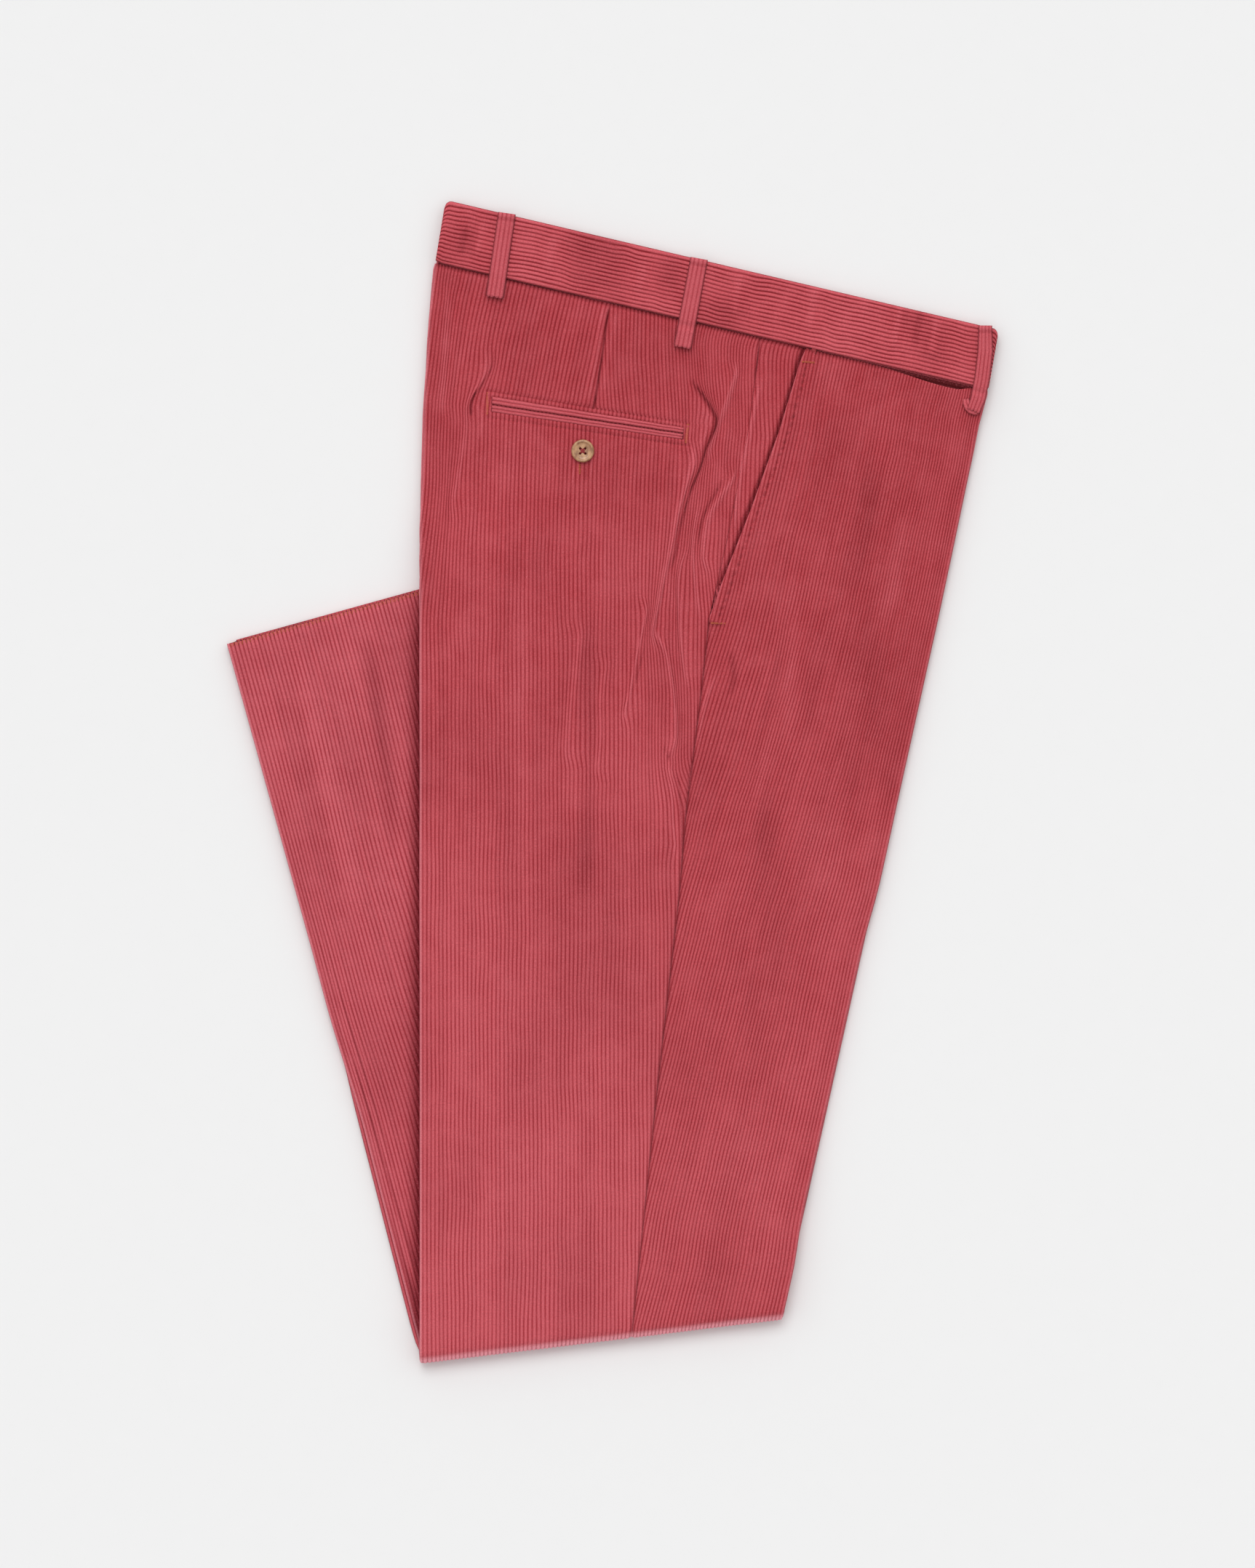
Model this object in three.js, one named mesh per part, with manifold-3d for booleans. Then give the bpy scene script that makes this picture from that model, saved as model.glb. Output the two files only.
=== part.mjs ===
import * as THREE from 'three';
import Module from 'manifold-3d';

// Corduroy trousers lying folded flat, in millimetres, with the floor at z = 0.
// The waist points to +Y and the front crease to +X. The right side faces up, and the
// lower legs are folded back behind the upper legs at the knee, so they show at the left.
const wasm = await Module();
wasm.setup();

// Cloth
const clothWall = 1.2;
const waleRelief = 0.5;
const backWale = 2.8;
const frontWale = 2.25;
const facingWale = 2.6;
const lowerWale = 2.7;
const bandWale = 2.8;
const seamGap = 0.3;
const coarseEvery = 12;

// Heights of the flat stack
const legHeight = 3.8;
const stackHeight = 2 * legHeight;
const stackBase = stackHeight + 0.4;
const lowerTop = 7.2;
const rampLength = 78;
const edgeRadius = legHeight / 2;
const kneeRadius = (stackBase + stackHeight) / 2;
const edgeTuck = 2.4;
const coreLift = -0.7;
const footInset = 2.4;
const topInset = 5.2;

// Waistband and belt loops
const bandRise = 1.0;
const bandThickness = 2.6;
const bandWidth = 41;
const bandEnds = { back: -118.6, front: 261.8 };
const bandLean = 3.6;
const bandStations = 16;
const stripRounding = 1.1;
const mostRounding = 0.2;
const rimShare = 0.45;
const rimDrop = 0.25;
const loopWall = 1.3;
const loopWidth = 12.2;
const loopWale = 2.6;
const loopRelief = 0.4;
const loopStep = 4;
const foldedEndRise = 0.6;
const tailRise = 0.5;
const tailRelief = 0.3;

// Back pocket and button
const weltCrown = 0.8;
const weltStations = 8;
const pocketLength = 132;
const buttonRadius = 7.9;
const buttonHeight = 3;
const buttonHole = 0.9;
const buttonHoleOffset = 1.65;
const buttonCentre = { x: -20.8, y: 228.8 };

// Lines seen from above, from the waist downward
const backEdge = [
  { y: 358, x: -122.7 },
  { y: 321, x: -126.3 },
  { y: 254, x: -130.3 },
  { y: 169, x: -132.6 },
  { y: -398, x: -132.4 },
];
const frontEdge = [
  { y: 272, x: 258 },
  { y: 246, x: 251.3 },
  { y: 109, x: 222.3 },
  { y: -211, x: 151.3 },
  { y: -351, x: 119.8 },
];
const sideSeam = [
  { y: 306, x: 101.3 },
  { y: 244, x: 93.3 },
  { y: 169, x: 78.8 },
  { y: 114, x: 66.3 },
  { y: 59, x: 60.3 },
  { y: -25, x: 49.8 },
  { y: -75, x: 45.8 },
  { y: -211, x: 30.3 },
  { y: -381, x: 12.8 },
];
const pocketMouth = [
  { y: 299.5, x: 132.8 },
  { y: 291, x: 128.8 },
  { y: 243, x: 114.3 },
  { y: 189, x: 94.8 },
  { y: 137, x: 74.3 },
  { y: 117, x: 67.3 },
];
const lowerLegEdge = [
  { y: 96.3, x: -265.3 },
  { y: -111, x: -207.8 },
  { y: -231, x: -175.8 },
  { y: -371, x: -139.8 },
  { y: -398, x: -132.3 },
];
const waistSeam = { x: -121.3, y: 358.3, slope: -0.23 };
const waistTop = { x: 259.3, y: 313.8, slope: -0.2345 };
const kneeLine = { x: -111.3, y: -395.8, slope: 0.118 };
const hemLine = { from: { x: -265.3, y: 96.3 }, to: { x: -77.3, y: 148.3 } };
const hiddenEdge = { from: { x: -77.3, y: 148.3 }, to: { x: 118.8, y: -368.7 } };
const frontLean = 0.2164;
const facingLean = 0.12;
const kneeLean = { most: -0.2, from: -132, span: 250 };
const layersTop = { backX: -114.5, frontX: 262, drop: 6 };
const lowerLayersEnd = 113;

// The cloth beside the slanted pocket mouth
const narrowestMouth = 1.5;
const mouthRaise = { rise: 0.45, width: 5, fade: 4 };
const facingSink = 0.8;

// Cross rows of the upper legs: y at the back edge, the side seam and the front edge
const flatRows = [
  { back: 358, seam: 306.8, front: 270.8 },
  { back: 318, seam: 274, front: 238 },
  { back: 279, seam: 243, front: 205 },
  { back: 238, seam: 208, front: 169 },
  { back: 200, seam: 173, front: 136 },
  { back: 162, seam: 137, front: 102 },
  { back: 118, seam: 104, front: 68 },
  { back: 60, seam: 48, front: 14 },
  { back: -20, seam: -30, front: -60 },
  { back: -130, seam: -128, front: -150 },
  { back: -262, seam: -247, front: -257 },
];
const facingRows = 6;
const kneeTurns = [50, 100, 150];

// Cross rows of the lower leg: y at its back edge and at the tuck under the upper legs
const lowerRows = [
  { edge: 96.2, tuck: 135.5 },
  { edge: 40, tuck: 78 },
  { edge: -30, tuck: 2 },
  { edge: -120, tuck: -94 },
  { edge: -220, tuck: -200 },
  { edge: -310, tuck: -300 },
  { edge: -379, tuck: -376 },
];
const lowerTuck = -121;
const lowerSlack = 0.97;

// Soft folds raised in the outer side of the cloth
const folds = [
  { fromX: 42.8, fromY: 196, toX: 37.8, toY: 142, rise: 1.2, reach: 7 },
  { fromX: 37.8, fromY: 142, toX: 27.8, toY: 93, rise: 1.2, reach: 7 },
  { fromX: 96.3, fromY: 264, toX: 89.3, toY: 225, rise: 0.9, reach: 6 },
  { fromX: 89.3, fromY: 225, toX: 65.3, toY: 182, rise: 1.0, reach: 7 },
  { fromX: 65.3, fromY: 182, toX: 60.8, toY: 145, rise: 0.8, reach: 7 },
  { fromX: 83.8, fromY: 283, toX: 65.3, toY: 225, rise: 1.1, reach: 8 },
  { fromX: 37.8, fromY: 102, toX: 40.3, toY: 59, rise: 0.7, reach: 5 },
  { fromX: -112, fromY: 338, toX: -108, toY: 228, rise: 0.6, reach: 9 },
  { fromX: 86, fromY: 88, toX: 84, toY: -11, rise: 0.5, reach: 10 },
];

// The dart, from its top in the waist seam to its tip
const dart = { topX: -1.8, topY: 331, tipX: -13.8, tipY: 259 };
const dartTake = { left: 0.112, right: 0.1 };
const dartClear = 5;
const dartSink = 0.2;

// Back pocket corners and the line between its welts
const pocket = {
  upper: { from: { x: -83.3, y: 266.8 }, to: { x: 49.3, y: 245.3 } },
  middle: { from: { x: -83.5, y: 260.8 }, to: { x: 48.6, y: 240.8 } },
  lower: { from: { x: -83.8, y: 255.3 }, to: { x: 47.8, y: 236.4 } },
};
const coinPocket = [
  { x: 196, y: 285.6 },
  { x: 224.8, y: 281 },
  { x: 248, y: 273.4 },
  { x: 224.8, y: 276 },
];

// Belt loops: centre line stations with the width at each
const backLoop = [
  { x: -72.8, y: 392.2, width: loopWidth },
  { x: -76.4, y: 368, width: loopWidth },
  { x: -79, y: 350, width: loopWidth },
  { x: -81.3, y: 334.8, width: loopWidth },
];
const sideLoop = [
  { x: 59.3, y: 361.1, width: loopWidth },
  { x: 54.6, y: 336, width: loopWidth },
  { x: 50.8, y: 316, width: loopWidth },
  { x: 47.8, y: 300.3, width: loopWidth },
];
const frontLoop = [
  { x: 256, y: 315, width: 9.4 },
  { x: 255.9, y: 297, width: 10.6 },
  { x: 253.8, y: 279, width: 10.6 },
  { x: 251, y: 265, width: 10.4 },
  { x: 247.8, y: 256.5, width: 9.6 },
];
const frontLoopTail = [
  { x: 249.5, y: 258.4, width: 5 },
  { x: 246.4, y: 259.6, width: 5 },
  { x: 243.6, y: 261.4, width: 3.6 },
];

// The raw hem: height of each layer, how far it stands out, and its room in the fold
const hemSlabs = [
  { low: 0, out: 0.4 },
  { low: 1.9, out: 1.1 },
  { low: 3.8, out: 0.2 },
];
const hemSlab = { thickness: 1.5, depth: 9, fromSide: 6, toSide: 3, drop: 1.6, lift: 0.8 };

const colours = {
  cloth: 0xb64d58,
  lowerCloth: 0xb9525e,
  band: 0xb44b56,
  hidden: 0xa8434e,
  loop: 0xae4752,
  button: 0xa66f4d,
};
const clothRoughness = 0.92;
const layersRoughness = 0.95;
const buttonRoughness = 0.4;

function smooth(value) {
  const t = Math.min(Math.max(value, 0), 1);
  return t * t * (3 - 2 * t);
}

// x of a line given by rows of y and x, carried on straight beyond its ends.
function lineX(table, y) {
  let i = 0;
  while (i < table.length - 2 && y < table[i + 1].y) {
    i += 1;
  }
  const high = table[i];
  const low = table[i + 1];
  return high.x + ((y - high.y) * (low.x - high.x)) / (low.y - high.y);
}

function slopedY(line, x) {
  return line.y + line.slope * (x - line.x);
}

function between(from, to, t) {
  return { x: from.x + (to.x - from.x) * t, y: from.y + (to.y - from.y) * t };
}

// Distance of a point to the left of a line from one point to another.
function leftOf(line, x, y) {
  const dx = line.to.x - line.from.x;
  const dy = line.to.y - line.from.y;
  return (dx * (y - line.from.y) - dy * (x - line.from.x)) / Math.hypot(dx, dy);
}

// Height of the underside of the upper legs, which ride up over the folded lower legs.
function baseHeight(x, y) {
  const pastHem = Math.max(leftOf(hemLine, x, y), 0);
  const pastSide = Math.max(leftOf(hiddenEdge, x, y), 0);
  return stackBase * (1 - smooth(Math.hypot(pastHem, pastSide) / rampLength));
}

function topHeight(x, y) {
  return baseHeight(x, y) + stackHeight;
}

function foldRise(x, y) {
  let rise = 0;
  for (const fold of folds) {
    const dx = fold.toX - fold.fromX;
    const dy = fold.toY - fold.fromY;
    const along = ((x - fold.fromX) * dx + (y - fold.fromY) * dy) / (dx * dx + dy * dy);
    const t = Math.min(Math.max(along, 0), 1);
    const away = Math.hypot(x - fold.fromX - dx * t, y - fold.fromY - dy * t);
    rise = Math.max(rise, fold.rise * (1 - smooth(away / fold.reach)));
  }
  return rise;
}

// A closed wall from rows of outer points and rows of inner points.
class Wall {
  constructor() {
    this.points = [];
    this.faces = [];
  }

  row(spots) {
    return spots.map((spot) => {
      this.points.push(spot.at);
      return { key: spot.key, index: this.points.length - 1 };
    });
  }

  face(a, b, c) {
    this.faces.push([a, b, c]);
  }

  // Fills between two rows, stepping along whichever has the nearer next key.
  strip(first, second) {
    let i = 0;
    let j = 0;
    while (i < first.length - 1 || j < second.length - 1) {
      const firstLeft = i < first.length - 1;
      const secondLeft = j < second.length - 1;
      if (firstLeft && (!secondLeft || first[i + 1].key <= second[j + 1].key)) {
        this.face(first[i].index, first[i + 1].index, second[j].index);
        i += 1;
      } else {
        this.face(first[i].index, second[j + 1].index, second[j].index);
        j += 1;
      }
    }
  }

  close(outer, inner) {
    const top = outer.map((spots) => this.row(spots));
    const under = inner.map((spots) => this.row(spots));
    for (let j = 0; j < top.length - 1; j += 1) {
      this.strip(top[j], top[j + 1]);
      this.strip(under[j + 1], under[j]);
      this.strip([top[j + 1][0], under[j + 1][0]], [top[j][0], under[j][0]]);
      this.strip([top[j].at(-1), under[j].at(-1)], [top[j + 1].at(-1), under[j + 1].at(-1)]);
    }
    this.strip(under[0], top[0]);
    this.strip(top.at(-1), under.at(-1));
    return this;
  }

  volume() {
    let sum = 0;
    for (const [a, b, c] of this.faces) {
      const p = new THREE.Vector3(...this.points[a]);
      const q = new THREE.Vector3(...this.points[b]);
      const r = new THREE.Vector3(...this.points[c]);
      sum += p.dot(q.cross(r));
    }
    return sum;
  }

  solid() {
    const flipped = this.volume() < 0;
    const triangles = this.faces.flatMap(([a, b, c]) => (flipped ? [a, c, b] : [a, b, c]));
    const mesh = new wasm.Mesh({
      numProp: 3,
      vertProperties: new Float32Array(this.points.flat()),
      triVerts: new Uint32Array(triangles),
    });
    return new wasm.Manifold(mesh);
  }
}

// A point of a leg panel. Past the edge roll, `arc` is how far the cloth has gone round it,
// and `turn` is the angle round the knee fold.
function legPoint(spot, lift) {
  const top = topHeight(spot.x, spot.y) + (spot.raise ?? 0);
  let out = 0;
  let depth = -lift;
  if (spot.arc > 0) {
    const radius = edgeRadius + lift;
    const angle = Math.min(spot.arc / edgeRadius, Math.PI);
    out = radius * Math.sin(angle) - Math.max(spot.arc - Math.PI * edgeRadius, 0);
    depth = edgeRadius - radius * Math.cos(angle);
  }
  const x = spot.x + spot.side * out;
  if (spot.turn === 0) {
    return [x, spot.y, top - depth];
  }
  const reach = (kneeRadius - depth) * Math.sin(spot.turn);
  const lean = kneeLean.most * smooth((spot.x - kneeLean.from) / kneeLean.span);
  return [
    x + reach * lean,
    spot.y - reach * Math.sqrt(1 - lean * lean),
    top - kneeRadius + (kneeRadius - depth) * Math.cos(spot.turn),
  ];
}

// Whole and half wales between two wale counts, each with its share of the way.
function walesBetween(from, to, pitch, make) {
  const step = pitch / 2;
  const spots = [];
  const margin = 0.4 * step;
  for (let k = Math.ceil((from + margin) / step); k * step < to - margin; k += 1) {
    const share = (k * step - from) / (to - from);
    const spot = make(share);
    spots.push({ ...spot, key: k * step, ridge: k % 2 !== 0, coarse: k % coarseEvery === 0 });
  }
  return spots;
}

// The row points on the back edge, side seam, pocket mouth and front edge.
function crossRow(row) {
  const back = { x: lineX(backEdge, row.back), y: row.back };
  const seam = { x: lineX(sideSeam, row.seam), y: row.seam };
  const front = { x: lineX(frontEdge, row.front), y: row.front };
  let low = 0;
  let high = 1;
  for (let i = 0; i < 24; i += 1) {
    const middle = (low + high) / 2;
    const point = between(seam, front, middle);
    if (point.x < lineX(pocketMouth, point.y)) {
      low = middle;
    } else {
      high = middle;
    }
  }
  return { back, seam, front, mouth: between(seam, front, low), turn: 0 };
}

// Where the cloth starts to roll round the knee fold, at a line given by rows of y and x.
function kneeStart(table) {
  let x = 0;
  for (let i = 0; i < 8; i += 1) {
    x = lineX(table, slopedY(kneeLine, x) + kneeRadius);
  }
  return { x, y: slopedY(kneeLine, x) + kneeRadius };
}

function allRows() {
  const rows = flatRows.map(crossRow);
  const start = {
    back: kneeStart(backEdge),
    seam: kneeStart(sideSeam),
    front: kneeStart(frontEdge),
    turn: 0,
  };
  rows.push(start);
  for (const degrees of kneeTurns) {
    rows.push({ ...start, turn: THREE.MathUtils.degToRad(degrees) });
  }
  return rows;
}

const legRows = allRows();

function edgeEnd(margin) {
  return Math.PI * edgeRadius + edgeTuck + margin;
}

// Spots of one row of the back panel, from under its edge roll to the side seam.
function backSpots(row, up, margin) {
  const leftShift = dartTake.left * Math.max(row.back.y - dart.tipY - dartClear, 0);
  const top = { x: row.back.x + edgeRadius, y: row.back.y + up, side: -1, turn: row.turn, arc: 0 };
  const end = { x: row.seam.x - seamGap / 2 + margin, y: row.seam.y + up };
  const arcEnd = edgeEnd(margin);
  const spots = [{ ...top, arc: arcEnd, key: -arcEnd - leftShift, coarse: true }];
  spots.push(...walesBetween(-arcEnd - leftShift, -leftShift, backWale, (share) => ({
    ...top,
    arc: arcEnd * (1 - share),
    roll: true,
  })));
  const width = end.x - top.x;
  const place = (share) => ({ ...top, ...between(top, end, share) });
  const dartRow = between(top, end, (dart.tipX - top.x) / width);
  const rise = Math.max(dartRow.y - dart.tipY, 0);
  if (rise > 0) {
    const cut = dart.tipX + ((dart.topX - dart.tipX) * rise) / (dart.topY - dart.tipY);
    const at = cut - top.x;
    const left = at - leftShift;
    const right = at + dartTake.right * rise;
    spots.push(...walesBetween(-leftShift, left, backWale, (share) => place((at * share) / width)));
    spots.push({ ...place(at / width), key: (left + right) / 2, sink: dartSink, coarse: true });
    const rest = width - at;
    spots.push(...walesBetween(right, right + rest, backWale, (share) =>
      place((at + rest * share) / width)));
    spots.push({ ...place(1), key: right + rest, coarse: true });
    return spots;
  }
  spots.push(...walesBetween(-leftShift, width, backWale, place));
  spots.push({ ...place(1), key: width, coarse: true });
  return spots;
}

// Spots of one row of the front panel, from the pocket mouth or side seam to its edge roll.
function frontSpots(row, up, margin) {
  const hasMouth = row.mouth && row.mouth.x - row.seam.x > narrowestMouth;
  const side = hasMouth ? row.mouth : row.seam;
  const start = { x: side.x + seamGap / 2 - margin, y: side.y + up };
  const top = { x: row.front.x - edgeRadius, y: row.front.y + up, side: 1, turn: row.turn, arc: 0 };
  const across = Math.sqrt(1 - frontLean * frontLean);
  const width = (top.x - start.x) * across - (top.y - start.y) * frontLean;
  const arcEnd = edgeEnd(margin);
  const raiseAt = (share) => {
    const past = share * width - mouthRaise.width;
    return hasMouth ? mouthRaise.rise * (1 - smooth(past / mouthRaise.fade)) : 0;
  };
  const place = (share) => ({ ...top, ...between(start, top, share), raise: raiseAt(share) });
  const spots = [{ ...place(0), key: -width, coarse: true }];
  spots.push(...walesBetween(-width, 0, frontWale, place));
  spots.push(...walesBetween(0, arcEnd, frontWale, (share) => ({
    ...top,
    arc: arcEnd * share,
    roll: true,
  })));
  spots.push({ ...top, arc: arcEnd, key: arcEnd, coarse: true });
  return spots;
}

// Spots of one row of the side pocket facing, which sinks below the pocket mouth.
function facingSpots(row, up, margin) {
  const start = { x: row.seam.x + seamGap / 2 - margin, y: row.seam.y + up };
  const end = { x: row.mouth.x - seamGap / 2 + margin, y: row.mouth.y + up };
  const key = (point) => point.x - facingLean * point.y;
  const place = (share) => ({
    ...between(start, end, share),
    side: 1,
    arc: 0,
    turn: 0,
    raise: -facingSink * smooth(share),
  });
  return [
    { ...place(0), key: key(start), coarse: true },
    ...walesBetween(key(start), key(end), facingWale, place),
    { ...place(1), key: key(end), coarse: true },
  ];
}

function raised(spot) {
  const relief = spot.ridge ? waleRelief : 0;
  const fold = spot.arc > 0 || spot.turn > 0 ? 0 : foldRise(spot.x, spot.y);
  return relief + fold - (spot.sink ?? 0);
}

function kept(spot) {
  return spot.coarse || spot.roll;
}

// A cloth wall over rows of spots, with the wales in its outer points over a plain inside.
function clothWallOver(rows) {
  const outer = rows.map((spots) => spots.map((spot) => ({
    key: spot.key,
    at: legPoint(spot, raised(spot)),
  })));
  const inner = rows.map((spots) => spots.filter(kept).map((spot) => ({
    key: spot.key,
    at: legPoint(spot, -clothWall),
  })));
  return new Wall().close(outer, inner).solid();
}

// The room that a cloth wall takes with its gap, to be cut from the layers under it.
function roomOver(rows) {
  const at = (lift) => rows.map((spots) => spots.filter(kept).map((spot) => ({
    key: spot.key,
    at: legPoint(spot, lift(spot)),
  })));
  const above = at((spot) => (spot.arc > 0 ? waleRelief + seamGap : seamGap));
  return new Wall().close(above, at(() => -clothWall - seamGap)).solid();
}

// Rows with a margin past their seams, and past the first and last row where it lies flat.
function wideRows(spotsOf, rows) {
  return rows.map((row, index) => {
    const first = index === 0 ? seamGap : 0;
    const last = index === rows.length - 1 && !row.turn ? seamGap : 0;
    return spotsOf(row, first - last, seamGap);
  });
}

function panelPieces(spotsOf, rows) {
  return {
    cloth: clothWallOver(rows.map((row) => spotsOf(row, 0, 0))),
    room: roomOver(wideRows(spotsOf, rows)),
  };
}

// An upright prism over an outline seen from above.
function prism(outline, low, high) {
  const shape = new wasm.CrossSection([outline.map((point) => [point.x, point.y])], 'NonZero');
  return shape.extrude(high - low).translate([0, 0, low]);
}

// Spots of the lower leg, from under its edge roll to the tuck under the upper legs.
function lowerPoint(spot, lift) {
  let out = 0;
  let depth = -lift;
  if (spot.arc > 0) {
    const radius = edgeRadius + lift;
    const angle = Math.min(spot.arc / edgeRadius, Math.PI);
    out = radius * Math.sin(angle) - Math.max(spot.arc - Math.PI * edgeRadius, 0);
    depth = edgeRadius - radius * Math.cos(angle);
  }
  return [spot.x - out, spot.y, lowerTop - depth];
}

function lowerSpots(row, up, margin) {
  const top = { x: lineX(lowerLegEdge, row.edge) + edgeRadius, y: row.edge + up, arc: 0 };
  const end = { x: lowerTuck + margin, y: row.tuck + up };
  const arcEnd = edgeEnd(margin);
  const width = Math.hypot(end.x - top.x, end.y - top.y) * lowerSlack;
  const spots = [{ ...top, arc: arcEnd, key: -arcEnd, coarse: true }];
  spots.push(...walesBetween(-arcEnd, 0, lowerWale, (share) => ({
    ...top,
    arc: arcEnd * (1 - share),
    roll: true,
  })));
  const place = (share) => ({ ...top, ...between(top, end, share) });
  spots.push(...walesBetween(0, width, lowerWale, place));
  spots.push({ ...place(1), key: width, coarse: true });
  return spots;
}

function lowerPieces() {
  const rows = lowerRows.map((row) => lowerSpots(row, 0, 0));
  const wide = wideRows(lowerSpots, lowerRows);
  const over = (source, keep, lift) => source.map((spots) => spots.filter(keep).map((spot) => ({
    key: spot.key,
    at: lowerPoint(spot, lift(spot)),
  })));
  const all = () => true;
  const outer = over(rows, all, (spot) => (spot.ridge ? waleRelief : 0));
  const inner = over(rows, kept, () => -clothWall);
  const above = over(wide, kept, () => waleRelief + seamGap);
  const below = over(wide, kept, () => -clothWall - seamGap);
  return {
    cloth: new Wall().close(outer, inner).solid(),
    room: new Wall().close(above, below).solid(),
  };
}

// A flat band with rounded edges between a line on its left and one on its right.
// Each station gives the two edge points and the heights of the underside.
function bandSolid(stations, wales, thickness, relief) {
  const outer = [];
  const inner = [];
  for (const station of stations) {
    const { left, right, low } = station;
    const width = Math.hypot(right.x - left.x, right.y - left.y);
    const at = (share, height) => {
      const point = between(left, right, share);
      return [point.x, point.y, low + height];
    };
    const round = Math.min(stripRounding / width, mostRounding);
    const count = wales * 2;
    const top = [{ key: -1, at: at(0, thickness * rimShare) }];
    for (let k = 0; k <= count; k += 1) {
      const share = round * rimShare + (1 - 2 * round * rimShare) * (k / count);
      const edgeDrop = k === 0 || k === count ? rimDrop * thickness : 0;
      const ridge = k % 2 !== 0 ? relief : 0;
      top.push({ key: k, at: at(share, thickness - edgeDrop + ridge) });
    }
    top.push({ key: count + 1, at: at(1, thickness * rimShare) });
    outer.push(top);
    inner.push([
      { key: -1, at: at(round, 0) },
      { key: count / 2, at: at(0.5, 0) },
      { key: count + 1, at: at(1 - round, 0) },
    ]);
  }
  return new Wall().close(outer, inner).solid();
}

// The waistband outline: stations from its back end to its front end.
function waistStations(low, margin) {
  const stations = [];
  const ends = [
    { x: bandEnds.back - 0.2 - margin, above: 0.3, below: 0.04 },
    { x: bandEnds.back + 1.8 - margin, above: 0.15, below: 0 },
    { x: bandEnds.back + 6, above: 0.045, below: 0 },
  ];
  const plain = { first: bandEnds.back + 6, last: bandEnds.front - 3 };
  for (let i = 1; i <= bandStations; i += 1) {
    const x = plain.first + ((plain.last - plain.first) * i) / bandStations;
    ends.push({ x, above: 0, below: 0 });
  }
  ends.push(
    { x: bandEnds.front - 1 + margin, above: 0.03, below: 0 },
    { x: bandEnds.front + margin, above: 0.1, below: 0.03 },
  );
  for (const end of ends) {
    const lowX = end.x - bandLean;
    const highX = end.x + bandLean;
    const bottom = { x: lowX, y: slopedY(waistSeam, lowX) + seamGap / 2 - margin };
    const top = { x: highX, y: slopedY(waistTop, highX) + margin };
    stations.push({
      left: between(bottom, top, end.below),
      right: between(top, bottom, end.above),
      low,
    });
  }
  return stations;
}

// Height under a belt loop: over the waistband, then down on the panel.
function loopSeat(x, y) {
  const top = topHeight(x, y);
  const inBand = y - slopedY(waistSeam, x);
  const band = top + bandRise + waleRelief;
  const panel = top + waleRelief + foldRise(x, y);
  return panel + (band - panel) * smooth((inBand + loopStep) / loopStep) + seamGap;
}

function resample(line) {
  const pieces = line.length > 4 ? 1 : 2;
  const points = [];
  for (let i = 0; i < line.length - 1; i += 1) {
    for (let j = 0; j < pieces; j += 1) {
      const t = j / pieces;
      const width = line[i].width + (line[i + 1].width - line[i].width) * t;
      points.push({ ...between(line[i], line[i + 1], t), width });
    }
  }
  points.push(line.at(-1));
  return points;
}

// Edge points and seat heights of a strip along its centre line.
function stripStations(points) {
  const stations = points.map((point, i) => {
    const before = points[Math.max(i - 1, 0)];
    const after = points[Math.min(i + 1, points.length - 1)];
    const length = Math.hypot(after.x - before.x, after.y - before.y);
    const acrossX = ((after.y - before.y) / length) * (point.width / 2);
    const acrossY = (-(after.x - before.x) / length) * (point.width / 2);
    const left = { x: point.x + acrossX, y: point.y + acrossY };
    const right = { x: point.x - acrossX, y: point.y - acrossY };
    const seats = [0, 0.25, 0.5, 0.75, 1].map((t) => {
      const spot = between(left, right, t);
      return loopSeat(spot.x, spot.y);
    });
    return { left, right, low: Math.max(...seats) };
  });
  return stations.map((station, i) => {
    const near = stations.slice(Math.max(i - 1, 0), i + 2).map((other) => other.low);
    return { ...station, low: Math.max(...near) };
  });
}

// A belt loop along its centre line, with its lower end folded double.
function beltLoop(line) {
  const levelled = stripStations(resample(line));
  const wales = Math.round(loopWidth / loopWale);
  const body = bandSolid(levelled, wales, loopWall, loopRelief);
  const folded = levelled.slice(-3).map((station) => ({
    ...station,
    low: station.low + loopWall * foldedEndRise,
  }));
  return body.add(bandSolid(folded, wales, loopWall, loopRelief));
}

// The front belt loop, with its free end turned out to one side.
function frontBeltLoop() {
  const tail = stripStations(frontLoopTail).map((station) => ({
    ...station,
    low: station.low + loopWall * tailRise,
  }));
  return beltLoop(frontLoop).add(bandSolid(tail, 2, loopWall, tailRelief));
}

// One welt of the back pocket between its upper and lower line.
function welt(upper, lower) {
  const profile = [
    { share: 0, crown: 0.1 },
    { share: 0.18, crown: 0.75 },
    { share: 0.5, crown: 1 },
    { share: 0.82, crown: 0.75 },
    { share: 1, crown: 0.1 },
  ];
  const inset = seamGap / pocketLength;
  const outer = [];
  const inner = [];
  for (let i = 0; i <= weltStations; i += 1) {
    const t = inset + ((1 - 2 * inset) * i) / weltStations;
    const high = between(upper.from, upper.to, t);
    const low = between(lower.from, lower.to, t);
    const clear = seamGap / Math.hypot(high.x - low.x, high.y - low.y);
    const spot = (share, height, key) => {
      const point = between(high, low, clear + (1 - 2 * clear) * share);
      return { key, at: [point.x, point.y, topHeight(point.x, point.y) + height] };
    };
    outer.push(profile.map((part) => spot(part.share, part.crown * weltCrown, part.share)));
    inner.push([spot(0, -clothWall, 0), spot(1, -clothWall, 1)]);
  }
  return new Wall().close(outer, inner).solid();
}

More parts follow.
